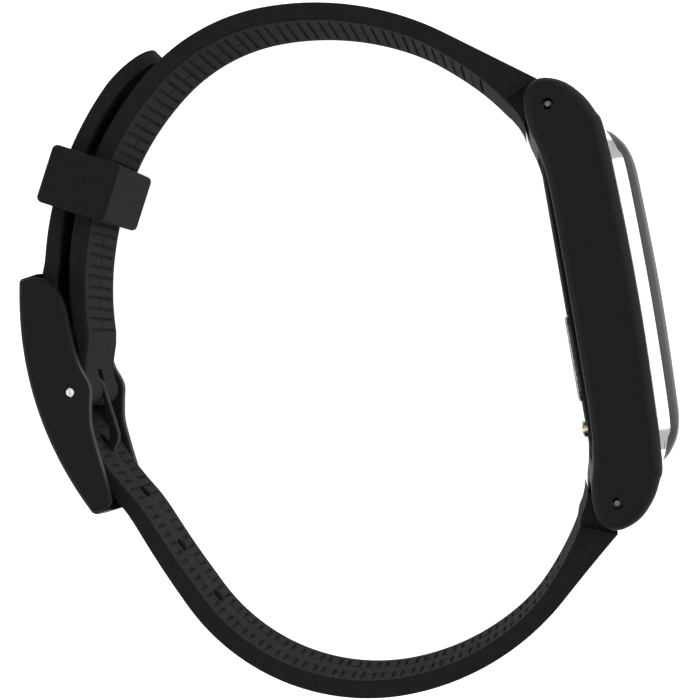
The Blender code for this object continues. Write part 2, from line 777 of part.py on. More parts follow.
def ribbon(name, low, high, y, height):
    """A folded flex ribbon between two values of X: two tongues and the run that joins them."""
    reach = 1.6
    outline = [
        (low, y), (low, y + reach), (high, y + reach), (high, y), (high - FLEX_THICKNESS, y),
        (high - FLEX_THICKNESS, y + reach - FLEX_THICKNESS), (low + FLEX_THICKNESS, y + reach - FLEX_THICKNESS),
        (low + FLEX_THICKNESS, y),
    ]
    return plate(name, outline, height - FLEX_WIDTH / 2, height + FLEX_WIDTH / 2, flex_film())


def tracker_module():
    module_bezel()
    cover_glass()
    module_housing()
    module_seal()
    display_panel()
    main_board()
    on_board("processor_shield", SHIELD_SIZE, SHIELD_CENTRE, shield_metal())
    on_board("motion_sensor", MOTION_SENSOR_SIZE, (-8.5, 3.5), dark_glass())
    battery()
    vibration_motor()
    sensor_window()
    sensor_top = sensor_stack()
    charge_contacts()
    ribbon("display_flex", BOARD_BACK + BOARD_THICKNESS + FACE_GAP, DISPLAY_BACK - FACE_GAP, -13.6, 0.0)
    ribbon("sensor_flex", sensor_top + FACE_GAP, BOARD_BACK - FACE_GAP, -4.2, -1.5)


# Straps


def thickness_at(distance, thinned):
    """A strap's thickness at a distance from its lug. It has thinned for the buckle by another distance."""
    swell = LUG_SWELL * max(1 - distance / SWELL_LENGTH, 0.0) ** 3
    share = min(max(1 - (thinned - distance) / TAPER_LENGTH, 0.0), 1.0)
    return STRAP_THICKNESS + swell - (STRAP_THICKNESS - TAIL_THICKNESS) * share


def lug_end(bar, side):
    """The skirt and the eye round the spring bar, from the strap's inner face to its outer one."""
    skirt = [(x, side * y) for x, y in SKIRT]
    eye = arc((0.0, 0.0), EYE_RADIUS, -168, 100, 16)
    points = skirt + [(x, side * y) for x, y in eye]
    return moved(points, bar)


def tab_trim(name, strap, route, thickness, side):
    """Narrows the tab between the lugs, on the cradle's side of the strap's slanted end."""
    outer = route.at(0.0)[0]
    inner = route.beside(END_SLANT, side * thickness(END_SLANT))
    slant = (inner - outer).normalized()
    reach = 3 * SLOT_RADIUS
    back = Vector((0.0, -side * reach))
    corners = [outer - slant * reach, inner + slant * reach]
    outline = [tuple(p) for p in (corners[0], corners[1], corners[1] + back, corners[0] + back)]
    edge = HALF_STRAP - TAB_INSET
    for low, high, end in ((edge, HALF_STRAP + 1, "near"), (-HALF_STRAP - 1, -edge, "far")):
        cut(strap, plate(name + "_trim_" + end, outline, low, high, None, CUTTERS))


def strap_upper(route, frame):
    """The short strap, from the upper lug to the knuckle round the buckle's pin."""
    bar = (0.0, HALF_BARS)

    def thickness(distance):
        return thickness_at(distance, route.length)

    outer = [tuple(route.at(d)[0]) for d in route.stations(STATION)]
    inner = [tuple(route.beside(d, thickness(d))) for d in route.stations(STATION, END_SLANT)]
    pin = tuple(frame.pin)
    knuckle = arc(pin, KNUCKLE_RADIUS, 130, 380, 16)
    outline = outer + knuckle + inner[::-1] + lug_end(bar, 1)
    strap = soft_plate("strap_upper", outline, -HALF_STRAP, HALF_STRAP, rubber(), STRAP_EDGE, steps=1)
    tab_trim("upper_tab", strap, route, thickness, 1)
    reach = HALF_STRAP + 1
    cut(strap, rod("upper_eye_hole", bar, TUBE_RADIUS + PIN_GAP, -reach, reach, None, CUTTERS))
    cut(strap, rod("knuckle_hole", pin, PIN_RADIUS + PIN_GAP, -reach, reach, None, CUTTERS))
    half = NOTCH_WIDTH / 2
    cut(strap, rod("tongue_notch", pin, NOTCH_RADIUS, -half, half, None, CUTTERS))
    set_origin(strap, *bar)
    smooth(strap)
    return strap


def oval_hole(name, strap, point, ahead, stretch):
    """A hole through a strap, with its long side across the strap."""
    radius = (HOLE_LENGTH + stretch) / 2
    straight = HOLE_WIDTH / 2 - radius
    outline = arc((0.0, straight), radius, 0, 180, 6) + arc((0.0, -straight), radius, 180, 360, 6)
    across = Vector((0, 0, 1))
    along = Vector((ahead.x, ahead.y, 0))
    turn = Matrix((along, across, along.cross(across))).transposed().to_4x4()
    place = Matrix.Translation(Vector((point.x, point.y, MIDDLE)) * MM)
    cut(strap, add(name, plate_mesh(name, outline, 3 * STRAP_THICKNESS, place @ turn), None, CUTTERS))


def arch_end(name, obj, point, ahead, depth, half_width, thickness):
    """Gives a flat piece an arched end in plan. Ahead is the way that the end points."""
    along = Vector((ahead.x, ahead.y, 0))
    across = Vector((0, 0, 1))
    turn = Matrix((along, across, along.cross(across))).transposed().to_4x4()
    place = Matrix.Translation(Vector((point.x, point.y, MIDDLE)) * MM)
    wide = half_width + 1
    half_turn = arc((0.0, 0.0), 1.0, 90, -90, 16)
    arch = [(depth * (x - 1), half_width * y) for x, y in half_turn]
    outline = [(-depth, wide)] + arch + [(-depth, -wide), (depth, -wide), (depth, wide)]
    cut(obj, add(name, plate_mesh(name, outline, thickness, place @ turn), None, CUTTERS))


def strap_lower(route, frame):
    """The long strap, from the lower lug through the buckle to its tip."""
    bar = (0.0, -HALF_BARS)
    tongue = route.where(-TAIL_THICKNESS / 2, frame.pin, HOOK_RADIUS)
    mouth = route.nearest(frame.place(-BUCKLE_HALF_LENGTH, threaded_outer(-BUCKLE_HALF_LENGTH)))

    def thickness(distance):
        return thickness_at(distance, mouth)

    outer = [tuple(route.at(d)[0]) for d in route.stations(STATION)]
    inner = [tuple(route.beside(d, -thickness(d))) for d in route.stations(STATION, END_SLANT)]
    outline = outer + inner[::-1] + lug_end(bar, -1)
    strap = soft_plate("strap_lower", outline, -HALF_STRAP, HALF_STRAP, rubber(), STRAP_EDGE, steps=1)
    tab_trim("lower_tab", strap, route, thickness, -1)
    reach = HALF_STRAP + 1
    cut(strap, rod("lower_eye_hole", bar, TUBE_RADIUS + PIN_GAP, -reach, reach, None, CUTTERS))
    for i in range(-HOLES_BEFORE, HOLES_AFTER + 1):
        distance = tongue + i * HOLE_PITCH
        middle = route.beside(distance, -thickness(distance) / 2)
        stretch = HOLE_STRETCH if i == 0 else 0.0
        oval_hole(f"adjustment_hole_{i + HOLES_BEFORE + 1}", strap, middle, route.at(distance)[1], stretch)
    tip, ahead = route.at(route.length)
    arch_end("tip_shape", strap, tip, ahead, TIP_LENGTH, HALF_STRAP, 8 * STRAP_THICKNESS)
    set_origin(strap, *bar)
    smooth(strap)
    return strap


def keeper_loop(route):
    """The loop that holds the tail against the upper strap. Its opening follows the strap's curve."""
    station = route.length - KEEPER_STATION
    radius = UPPER_BENDS[-1][0] / math.radians(UPPER_BENDS[-1][1])
    centre = route.beside(station, radius)
    out = (route.at(station)[0] - centre).normalized()
    side = Vector((-out.y, out.x)) * KEEPER_LENGTH / 2
    inner = radius - STRAP_THICKNESS - KEEPER_GAP - KEEPER_SLACK
    outer = radius + TAIL_GAP + TAIL_THICKNESS + KEEPER_GAP
    near, far = centre + out * (inner - KEEPER_WALL), centre + out * (outer + KEEPER_WALL)
    corners = [tuple(p) for p in (near - side, far - side, far + side, near + side)]
    half_width = HALF_STRAP + KEEPER_GAP + KEEPER_SIDE
    loop = soft_plate("keeper_loop", corners, -half_width, half_width, rubber(), KEEPER_EDGE)
    angle = math.degrees(math.atan2(out.y, out.x))
    half = math.degrees(KEEPER_LENGTH / radius)
    opening = arc(centre, outer, angle - half, angle + half, 12) + arc(centre, inner, angle + half, angle - half, 12)
    edge = HALF_STRAP + KEEPER_GAP
    cut(loop, plate("keeper_opening", opening, -edge, edge, None, CUTTERS))
    set_origin(loop, *centre)
    smooth(loop)
    return centre


# Buckle


def buckle_arm_outline(frame):
    steps = 12
    ends = [-BUCKLE_HALF_LENGTH + 2 * BUCKLE_HALF_LENGTH * i / steps for i in range(steps + 1)]
    outer = [(along, buckle_outer(along)) for along in ends]
    inner = spline([outer[-1], *ARM_INNER, outer[0]], 2)
    return frame.outline(outer + inner[1:-1])


def crossbar_outline(frame, side):
    """A curved plate just under the arms' outer edge, at one end of the buckle."""
    steps = 5
    start = BUCKLE_HALF_LENGTH - CROSSBAR_LENGTH
    span = CROSSBAR_LENGTH + BUCKLE_END_BOW
    stations = [side * (start + span * i / steps) for i in range(steps + 1)]
    outer = [(along, buckle_outer(along) - FACE_GAP) for along in stations]
    inner = [(along, buckle_outer(along) - CROSSBAR_THICKNESS) for along in reversed(stations)]
    return frame.outline(outer + inner)


def buckle_frame(frame):
    outline = buckle_arm_outline(frame)
    inside = HALF_WIDTH - ARM_WIDTH
    buckle = soft_plate("buckle_frame", outline, inside, HALF_WIDTH, black_plastic(), BUCKLE_EDGE)
    far = soft_plate("buckle_far_arm", outline, -HALF_WIDTH, -inside, None, BUCKLE_EDGE, CUTTERS)
    join(buckle, far)
    across = HALF_WIDTH - BUCKLE_EDGE - FACE_GAP
    for side, name in ((1, "top_crossbar"), (-1, "bottom_crossbar")):
        bar = plate(name, crossbar_outline(frame, side), -across, across, None, CUTTERS)
        end = frame.place(side * (BUCKLE_HALF_LENGTH + BUCKLE_END_BOW), BUCKLE_END_OUT)
        arch_end(name + "_bow", bar, end, side * frame.up, BUCKLE_END_BOW, HALF_WIDTH, 4 * CROSSBAR_THICKNESS)
        join(buckle, bar)
    reach = HALF_WIDTH + 1
    cut(buckle, rod("pin_hole", frame.pin, PIN_RADIUS + PIN_GAP, -reach, reach, None, CUTTERS))
    set_origin(buckle, *frame.pin)
    smooth(buckle)
    return buckle


def buckle_pin(frame):
    """The pin across the buckle, with a screwdriver slot in each end."""
    end = HALF_WIDTH - FACE_GAP
    pin = rod("buckle_pin", frame.pin, PIN_RADIUS, -end, end, steel())
    for side, name in ((1, "near"), (-1, "far")):
        size = (4 * PIN_RADIUS, SLOT_WIDTH, 2 * SLOT_DEPTH)
        centre = (frame.pin.x, frame.pin.y, side * end)
        cut(pin, box("pin_slot_" + name, size, centre, None, CUTTERS))
    set_origin(pin, *frame.pin)
    smooth(pin)
    return pin


def buckle_tongue(frame):
    """The hook that pivots on the pin. Its end is round the pin, so it swings straight out of the hole."""
    eye_outer = KNUCKLE_RADIUS - RUN_GAP + FACE_GAP
    eye_radius = (TONGUE_FACE + eye_outer) / 2
    eye_centre = (0.0, eye_outer - eye_radius)
    eye = arc(eye_centre, eye_radius, 232, -90, 18)
    outer_radius = HOOK_RADIUS + HOOK_THICKNESS / 2
    inner_radius = HOOK_RADIUS - HOOK_THICKNESS / 2
    shank_top = -TONGUE_FACE + TONGUE_THICKNESS
    bend = HOOK_RADIUS - 1.7

    def on_hook(radius, out):
        return (-math.sqrt(radius**2 - out**2), out)

    outer_side = [on_hook(outer_radius, -1.1 + (HOOK_REACH + 0.9) * i / 4) for i in range(5)]
    inner_side = [on_hook(inner_radius, HOOK_REACH - 0.2 + (-0.7 - HOOK_REACH + 0.2) * i / 4) for i in range(5)]
    tip = [(-HOOK_RADIUS * 0.955, HOOK_REACH + 0.15)]
    corner = [(-bend, -TONGUE_FACE), (-bend - 1.0, -TONGUE_FACE + 0.15), (-bend - 1.75, -TONGUE_FACE + 0.7)]
    outline = eye + corner + outer_side + tip + inner_side + [(-bend - 0.6, shank_top)]
    half = TONGUE_WIDTH / 2
    tongue = soft_plate("buckle_tongue", frame.outline(outline), -half, half, steel(), TONGUE_EDGE, steps=1)
    cut(tongue, rod("tongue_hole", frame.pin, PIN_RADIUS + PIN_GAP, -half - 1, half + 1, None, CUTTERS))
    set_origin(tongue, *frame.pin)
    smooth(tongue)
    return tongue


# Spring bars


def bar_tube(name, centre):
    end = HALF_LUG_GAP - TUBE_END_GAP
    lip = end - TUBE_LIP_LENGTH
    profile = [
        (TUBE_RADIUS, end), (TUBE_RADIUS, -end), (TUBE_LIP, -end), (TUBE_LIP, -lip),
        (TUBE_BORE, -lip), (TUBE_BORE, lip), (TUBE_LIP, lip), (TUBE_LIP, end),
    ]
    return turned(name, profile, centre, steel())


def head_end():
    """The height at which a tip's head ends, inside its tube."""
    return HALF_LUG_GAP - TUBE_END_GAP - TUBE_LIP_LENGTH - TIP_SETBACK


def bar_tip(name, centre, side):
    """A sprung tip: a head inside the tube and a pin that reaches through the lug."""
    head = head_end()
    end = HALF_WIDTH - TIP_RECESS
    profile = [
        (0.0, end), (TIP_PIN_RADIUS, end), (TIP_PIN_RADIUS, head), (TIP_HEAD_RADIUS, head),
        (TIP_HEAD_RADIUS, head - TIP_HEAD_LENGTH), (0.0, head - TIP_HEAD_LENGTH),
    ]
    if side < 0:
        profile = [(radius, -height) for radius, height in reversed(profile)]
    return turned(name, profile, centre, steel())


def bar_spring(name, centre):
    """The coil that pushes the two tips apart."""
    half = head_end() - TIP_HEAD_LENGTH - COIL_WIRE - FACE_GAP
    radius = TUBE_BORE - COIL_WIRE - FACE_GAP
    count = COIL_TURNS * 10
    curve = bpy.data.curves.new(name, "CURVE")
    curve.dimensions = "3D"
    curve.bevel_depth = COIL_WIRE * MM
    curve.bevel_resolution = 1
    curve.use_fill_caps = True
    line = curve.splines.new("POLY")
    line.points.add(count)
    for i, point in enumerate(line.points):
        turn = 2 * math.pi * COIL_TURNS * i / count
        height = -half + 2 * half * i / count
        point.co = (radius * math.cos(turn) * MM, radius * math.sin(turn) * MM, height * MM, 1.0)
    obj = bpy.data.objects.new(name, curve)
    collection(PARTS).objects.link(obj)
    obj.location = (centre[0] * MM, centre[1] * MM, MIDDLE * MM)
    curve.materials.append(steel())
    return obj


def spring_bar(end, centre):
    bar_tube(end + "_bar_tube", centre)
    bar_tip(end + "_bar_tip_near", centre, 1)
    bar_tip(end + "_bar_tip_far", centre, -1)
    bar_spring(end + "_bar_spring", centre)


def main():
    clear_scene()
    collection(PARTS)
    collection(CUTTERS).hide_render = True
    upper = upper_route()
    frame = BuckleFrame(upper)
    lower = lower_route(upper, frame)
    cradle_frame()
    tracker_module()
    spring_bar("upper", (0.0, HALF_BARS))
    spring_bar("lower", (0.0, -HALF_BARS))
    strap_upper(upper, frame)
    strap_lower(lower, frame)
    keeper_loop(upper)
    buckle_frame(frame)
    buckle_pin(frame)
    buckle_tongue(frame)


main()
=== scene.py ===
"""The looks of the fitness tracker band: finer pieces, materials, floor, lights and camera.

+Z runs along the wrist, +X points out of the display, and +Y runs along the cradle from the lower lug to
the upper lug. Every size is in millimetres, and MM turns it into metres.
"""

import math

import bmesh
import bpy
from mathutils import Matrix, Vector


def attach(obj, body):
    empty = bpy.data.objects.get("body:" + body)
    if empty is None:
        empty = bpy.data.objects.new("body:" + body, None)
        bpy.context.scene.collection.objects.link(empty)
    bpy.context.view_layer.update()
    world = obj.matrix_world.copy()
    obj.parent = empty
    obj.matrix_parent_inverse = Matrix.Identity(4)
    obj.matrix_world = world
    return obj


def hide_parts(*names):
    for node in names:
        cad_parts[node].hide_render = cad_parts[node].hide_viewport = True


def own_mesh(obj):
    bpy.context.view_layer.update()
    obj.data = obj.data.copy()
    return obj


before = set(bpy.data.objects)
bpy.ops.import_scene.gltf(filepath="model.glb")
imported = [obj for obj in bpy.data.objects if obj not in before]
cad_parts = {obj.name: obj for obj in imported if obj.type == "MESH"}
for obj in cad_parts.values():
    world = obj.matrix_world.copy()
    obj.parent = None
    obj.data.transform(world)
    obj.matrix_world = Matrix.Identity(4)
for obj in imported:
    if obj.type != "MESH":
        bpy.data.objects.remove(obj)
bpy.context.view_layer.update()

MM = 0.001

# Clearances
FIT_GAP = 0.2
FACE_GAP = 0.1
PIN_GAP = 0.06
RUN_GAP = 0.3
MOUTH_GAP = 0.85
SIDE_GAP = 0.2

# Straps
STRAP_WIDTH = 18.0
STRAP_THICKNESS = 1.9
TAIL_THICKNESS = 1.6
TAPER_LENGTH = 12.0
LUG_SWELL = 2.45
SWELL_LENGTH = 16.0
END_SLANT = 1.9
TAB_INSET = 0.5
EYE_RADIUS = 2.0
EYE_CLEARANCE = 0.6
STRAP_EDGE = 0.34
UPPER_START, UPPER_HEADING = (-0.6, 3.1), 143.3
UPPER_BENDS = ((10.9, 0.0), (20.1, 37.1), (13.5, 36.5), (32.7, 57.3))
LOWER_START, LOWER_HEADING = (-0.4, -3.4), 220.1
LOWER_BENDS = ((9.0, 2.1), (19.2, -39.8), (27.1, -66.1), (8.6, -4.4))
SKIRT = ((-3.8, 0.8), (-3.2, -0.2), (-2.8, -1.2), (-2.65, -2.1), (-2.6, -0.95), (-2.35, -0.6))
TAIL_GAP = 1.05
TAIL_REACH = 34.0
TIP_LENGTH = 8.0
HOLE_PITCH = 7.0
HOLE_LENGTH, HOLE_WIDTH = 1.5, 3.0
HOLE_STRETCH = 0.9
HOLES_BEFORE, HOLES_AFTER = 3, 5
STATION = 0.55

# Grooves moulded into the straps' inner faces
GROOVE_WIDTH, GROOVE_DEPTH = 0.36, 0.22
GROOVE_RUN_OUT, GROOVE_PROUD = 0.4, 0.3
GROOVE_SPACING = 1.22
GROOVE_HALF_LENGTH = 7.1
UPPER_GROOVES_START, UPPER_GROOVES_END = 6.0, 1.5
FIGURE_PITCH = HOLE_PITCH / 3
FIGURE_OUTER, FIGURE_INNER = 6.9, 2.1
FIGURE_LINK_NEAR, FIGURE_LINK_FAR = 3.4, 2.3
LOWER_GROOVES_START = 7.0

# Cradle
LUG_WALL = 2.5
SIDE_WALL = 2.6
END_WALL = 1.6
LUG_HOLE_RADIUS = 0.62
SLOT_SHOULDER = 5
CRADLE_FRONT, CRADLE_BACK = 5.92, -1.15
CRADLE_OUTLINE = (
    (5.76, -11.7), (5.4, -3.5), (4.8, -1.5), (3.7, 0.5), (1.9, 2.2), (-0.4, 2.85),
    (-2.1, 1.8), (-2.45, -0.2), (-2.3, -2.2), (-1.7, -4.7), (-1.25, -9.1),
)
CRADLE_EDGE, CRADLE_BACK_EDGE = 1.4, 0.9

# Tracker module
BODY_LENGTH = 33.4
BODY_CORNER = 3.0
RIM_OVERHANG = 1.05
HOUSING_BACK, HOUSING_TOP = -1.55, 4.4
HOUSING_WALL = 0.9
SEAL_HEIGHT = 0.4
BEZEL_WALL = 1.3
GLASS_LINE = ((8.1, -6.6), (7.9, -4.0), (7.4, -2.2), (6.6, -0.8), (5.85, 0.1))
BEZEL_LINE = ((6.95, -4.8), (6.4, -2.4), (5.9, -0.8), (5.56, 0.1))
GLASS_TOP, BEZEL_TOP, BEZEL_BASE = 8.35, 7.2, 5.98
BASE_DROP = 0.5
SEAM = 0.02
SENSOR_CENTRE = -5.6
WINDOW_SIZE = (9.4, 8.6)
WINDOW_RISE = 0.45
CONTACT_RADIUS = 0.8
CONTACT_CENTRE, CONTACT_SPACING = -13.3, 4.0
CONTACT_RISE, CONTACT_DEPTH = 0.6, 1.6

# Spring bar tips
TUBE_RADIUS = 0.75
TUBE_LIP_LENGTH, TUBE_END_GAP = 0.5, 0.3
TIP_PIN_RADIUS, TIP_HEAD_RADIUS = 0.36, 0.53
TIP_HEAD_LENGTH = 2.4
TIP_RECESS = 0.2
TIP_SETBACK = 0.2
TUBE_BORE = 0.6
COIL_WIRE, COIL_TURNS, COIL_SIDES = 0.08, 4, 16  # the turns are those of each half

# Buckle, keeper and tongue
PIN_ALONG, PIN_OUT = 4.0, 1.3
BUCKLE_TILT = 4.0
BUCKLE_HALF_LENGTH = 12.9
BUCKLE_END_OUT, BUCKLE_BOW = 1.3, 2.3
ARM_WIDTH = 2.1
ARM_INNER = (
    (12.75, 0.0), (12.0, -1.2), (10.4, -1.9), (8.6, -2.05), (5.0, -1.72), (2.4, -1.7), (0.0, -2.1),
    (-2.0, -1.5), (-4.0, -0.95), (-7.0, -0.8), (-10.0, -0.75), (-12.0, -0.6), (-12.8, 0.1),
)
CROSSBAR_LENGTH, CROSSBAR_THICKNESS = 5.4, 1.4
BUCKLE_EDGE, BUCKLE_OUTER_EDGE = 0.3, 0.55
BUCKLE_END_BOW = 0.45
BUCKLE_CROWN = 0.35
KNUCKLE_RADIUS = 1.7
KNUCKLE_BLEND = 4  # stations of the strap that run into its knuckle
NOTCH_RADIUS = 2.65
PIN_RADIUS = 0.5
SLOT_WIDTH, SLOT_DEPTH = 0.16, 0.25
TONGUE_WIDTH, NOTCH_WIDTH = 2.0, 2.6
TONGUE_FACE, TONGUE_THICKNESS = 1.75, 0.9
HOOK_RADIUS, HOOK_THICKNESS = 6.6, 0.9
HOOK_REACH = 2.0
TONGUE_EDGE = 0.12
KEEPER_STATION = 18.2
KEEPER_LENGTH, KEEPER_WALL, KEEPER_SIDE = 6.4, 1.2, 2.0
KEEPER_GAP = 0.15
KEEPER_SLACK = 0.35
KEEPER_EDGE = 0.55
KEEPER_CORNER = 0.6

# Derived from the sizes above
HALF_STRAP = STRAP_WIDTH / 2
HALF_LUG_GAP = HALF_STRAP + SIDE_GAP
HALF_WIDTH = HALF_LUG_GAP + LUG_WALL
HALF_BODY_WIDTH = HALF_WIDTH - SIDE_WALL - FIT_GAP
HALF_BODY = BODY_LENGTH / 2
SLOT_RADIUS = EYE_RADIUS + EYE_CLEARANCE
HALF_BARS = HALF_BODY + FIT_GAP + END_WALL + SLOT_RADIUS
MIDDLE = HALF_WIDTH

# Camera, floor and lights
CAMERA_PLACE = (-5.2743, -4.0422, 283.2524)
CAMERA_RIGHT = (0.98243, -0.17041, -0.07563)
CAMERA_UP = (0.1709, 0.98525, 0.0001)
CAMERA_LENS = 128.04
FLOOR_SIZE = 4000.0
FLOOR_DROP = 0.05


# Outlines and routes


def arc(centre, radius, start, end, count):
    """Points on an arc, with its angles in degrees."""
    angles = [math.radians(start + (end - start) * i / count) for i in range(count + 1)]
    return [(centre[0] + radius * math.cos(a), centre[1] + radius * math.sin(a)) for a in angles]


def rounded_rectangle(length, width, radius, count=12):
    x, y = length / 2 - radius, width / 2 - radius
    corners = (((x, y), 0), ((-x, y), 90), ((-x, -y), 180), ((x, -y), 270))
    return [p for centre, start in corners for p in arc(centre, radius, start, start + 90, count)]


def spline(points, steps, closed=False):
    """A Catmull-Rom curve through the points, with this many steps between each two."""
    count = len(points)
    spans = count if closed else count - 1
    drawn = []
    for i in range(spans):
        if closed:
            a, b, c, d = (points[(i + k) % count] for k in (-1, 0, 1, 2))
        else:
            a, b, c, d = (points[min(max(i + k, 0), count - 1)] for k in (-1, 0, 1, 2))
        for step in range(steps):
            t = step / steps
            weights = (
                -0.5 * t + t**2 - 0.5 * t**3,
                1 - 2.5 * t**2 + 1.5 * t**3,
                0.5 * t + 2 * t**2 - 1.5 * t**3,
                -0.5 * t**2 + 0.5 * t**3,
            )
            drawn.append(tuple(sum(w * p[k] for w, p in zip(weights, (a, b, c, d))) for k in (0, 1)))
    return drawn if closed else drawn + [tuple(points[-1])]


def mirrored(points):
    return [(x, -y) for x, y in points]


class Route:
    """A curve in the XY plane that is known by its points, with its length measured along it."""

    def __init__(self, points):
        self.points = [Vector(p) for p in points]
        self.along = [0.0]
        for a, b in zip(self.points, self.points[1:]):
            self.along.append(self.along[-1] + (b - a).length)
        self.length = self.along[-1]

    def at(self, distance):
        distance = min(max(distance, 0.0), self.length)
        i = next(k for k in range(1, len(self.along)) if self.along[k] >= distance - 1e-9)
        a, b = self.points[i - 1], self.points[i]
        share = (distance - self.along[i - 1]) / (self.along[i] - self.along[i - 1])
        return a.lerp(b, share), (b - a).normalized()

    def beside(self, distance, offset):
        point, ahead = self.at(distance)
        return point + Vector((-ahead.y, ahead.x)) * offset

    def where(self, offset, centre, radius):
        return next(d for d in self.along if (self.beside(d, offset) - centre).length < radius)

    def stations(self, spacing, start=0.0):
        count = max(2, round((self.length - start) / spacing))
        return [start + (self.length - start) * i / count for i in range(count + 1)]

    def nearest(self, target):
        best = min(range(len(self.points)), key=lambda i: (self.points[i] - Vector(target)).length)
        return self.along[best]


def bent_path(start, heading, bends, step=0.4):
    point, angle = Vector(start), math.radians(heading)
    points = [point.copy()]
    for length, turn in bends:
        count = math.ceil(length / step)
        change = math.radians(turn) / count
        for _ in range(count):
            middle = angle + change / 2
            point = point + Vector((math.cos(middle), math.sin(middle))) * length / count
            angle += change
            points.append(point.copy())
    return points


def blend(a, a_ahead, b, b_ahead, count):
    reach = (b - a).length
    points = []
    for i in range(1, count):
        t = i / count
        points.append(
            a * (2 * t**3 - 3 * t**2 + 1)
            + a_ahead * reach * (t**3 - 2 * t**2 + t)
            + b * (3 * t**2 - 2 * t**3)
            + b_ahead * reach * (t**3 - t**2)
        )
    return points


def upper_route():
    start = (UPPER_START[0], HALF_BARS + UPPER_START[1])
    return Route(bent_path(start, UPPER_HEADING, UPPER_BENDS))


class BuckleFrame:
    """Turns distances along and out from the buckle's pin into XY positions."""

    def __init__(self, route):
        end, ahead = route.at(route.length)
        out = Vector((ahead.y, -ahead.x))
        self.pin = end + ahead * PIN_ALONG + out * PIN_OUT
        tilt = Matrix.Rotation(math.radians(BUCKLE_TILT), 2)
        self.up = tilt @ -ahead
        self.out = tilt @ out

    def place(self, along, out):
        return self.pin + self.up * along + self.out * out

    def outline(self, points):
        return [tuple(self.place(*p)) for p in points]

    def outward(self, x, y):
        """How far out from the pin a point is, and how far along."""
        away = Vector((x, y)) - self.pin
        return away.dot(self.out), away.dot(self.up)


def buckle_outer(along):
    return BUCKLE_END_OUT + BUCKLE_BOW * (1 - (along / BUCKLE_HALF_LENGTH) ** 2)


def threaded_outer(along):
    window = BUCKLE_HALF_LENGTH - CROSSBAR_LENGTH
    entry = max((-along - window) / CROSSBAR_LENGTH, 0.0)
    under = buckle_outer(along) - CROSSBAR_THICKNESS - RUN_GAP - (MOUTH_GAP - RUN_GAP) * entry
    over = KNUCKLE_RADIUS + RUN_GAP + TAIL_THICKNESS
    rise = over - (buckle_outer(0) - CROSSBAR_THICKNESS - RUN_GAP)
    share = min(abs(along) / window, 1.0)
    return under + rise * (0.5 + 0.5 * math.cos(math.pi * share))


def lower_route(upper, buckle):
    """From the lower lug round to the buckle, through it, and back along the upper strap to the tip."""
    start = (LOWER_START[0], -HALF_BARS + LOWER_START[1])
    points = bent_path(start, LOWER_HEADING, LOWER_BENDS)
    span = BUCKLE_HALF_LENGTH
    steps = 48
    stations = [-span + 2 * span * i / steps for i in range(steps + 1)]
    through = [buckle.place(a, threaded_outer(a)) for a in stations]
    offset = -(TAIL_GAP + TAIL_THICKNESS)
    join_at = upper.nearest(buckle.place(span + TAIL_THICKNESS, -TAIL_GAP))
    tip = upper.length - TAIL_REACH
    count = round((join_at - tip) / STATION)
    tail = [upper.beside(join_at + (tip - join_at) * i / count, offset) for i in range(count + 1)]
    ahead = (points[-1] - points[-2]).normalized()
    into = (through[1] - through[0]).normalized()
    points += blend(points[-1], ahead, through[0], into, 12)
    points += through
    out_of = (through[-1] - through[-2]).normalized()
    along_tail = (tail[1] - tail[0]).normalized()
    points += blend(through[-1], out_of, tail[0], along_tail, 8)
    return Route(points + tail)


# Mesh code


def new_object(name, mesh):
    obj = bpy.data.objects.new(name, mesh)
    bpy.context.scene.collection.objects.link(obj)
    return obj


def mesh_from(name, bm):
    bmesh.ops.recalc_face_normals(bm, faces=bm.faces)
    mesh = bpy.data.meshes.new(name)
    bm.to_mesh(mesh)
    bm.free()
    return mesh


def prism(name, outline, low, high, placed=None):
    """A flat outline between two heights, put at the matrix. Without one, Z is from the middle."""
    bm = bmesh.new()
    placed = placed or Matrix.Translation((0, 0, MIDDLE))
    rings = [[bm.verts.new(placed @ Vector((x, y, z)) * MM) for x, y in outline] for z in (low, high)]
    bm.faces.new(rings[0])
    bm.faces.new(rings[1])
    count = len(outline)
    for i in range(count):
        j = (i + 1) % count
        bm.faces.new((rings[0][i], rings[0][j], rings[1][j], rings[1][i]))
    return new_object(name, mesh_from(name, bm))


def facing(centre=(0.0, 0.0)):
    """Puts an outline in the YZ plane, so that its own heights are values of X."""
    turn = Matrix(((0, 0, 1, 0), (1, 0, 0, 0), (0, 1, 0, 0), (0, 0, 0, 1)))
    return Matrix.Translation((0, centre[0], MIDDLE + centre[1])) @ turn


def wall(name, outline, low, high, centre=(0.0, 0.0)):
    return prism(name, outline, low, high, facing(centre))


def circle(centre, radius, count=40):
    return arc(centre, radius, 0, 360 - 360 / count, count - 1)


def rod(name, centre, radius, low, high):
    return prism(name, circle(centre, radius), low, high)


def inset(outline, edge):
    """The outline, anticlockwise, moved in by a size or by a function of the point."""
    moved_in = []
    for before, here, after in zip(outline[-1:] + outline[:-1], outline, outline[1:] + outline[:1]):
        back = (Vector(here) - Vector(before)).normalized()
        ahead = (Vector(after) - Vector(here)).normalized()
        inward = Vector((-back.y - ahead.y, back.x + ahead.x)).normalized()
        lean = max(inward.dot(Vector((-ahead.y, ahead.x))), 0.5)
        amount = edge(*here) if callable(edge) else edge
        moved_in.append(tuple(Vector(here) + inward * amount / lean))
    return moved_in


def ring_body(name, layers):
    """A closed body from rings of points that have equal counts, with its two ends filled."""
    bm = bmesh.new()
    loops = [[bm.verts.new(Vector(p) * MM) for p in ring] for ring in layers]
    bm.faces.new(loops[0])
    bm.faces.new(loops[-1])
    count = len(layers[0])
    for below, above in zip(loops, loops[1:]):
        for i in range(count):
            j = (i + 1) % count
            bm.faces.new((below[i], below[j], above[j], above[i]))
    return new_object(name, mesh_from(name, bm))


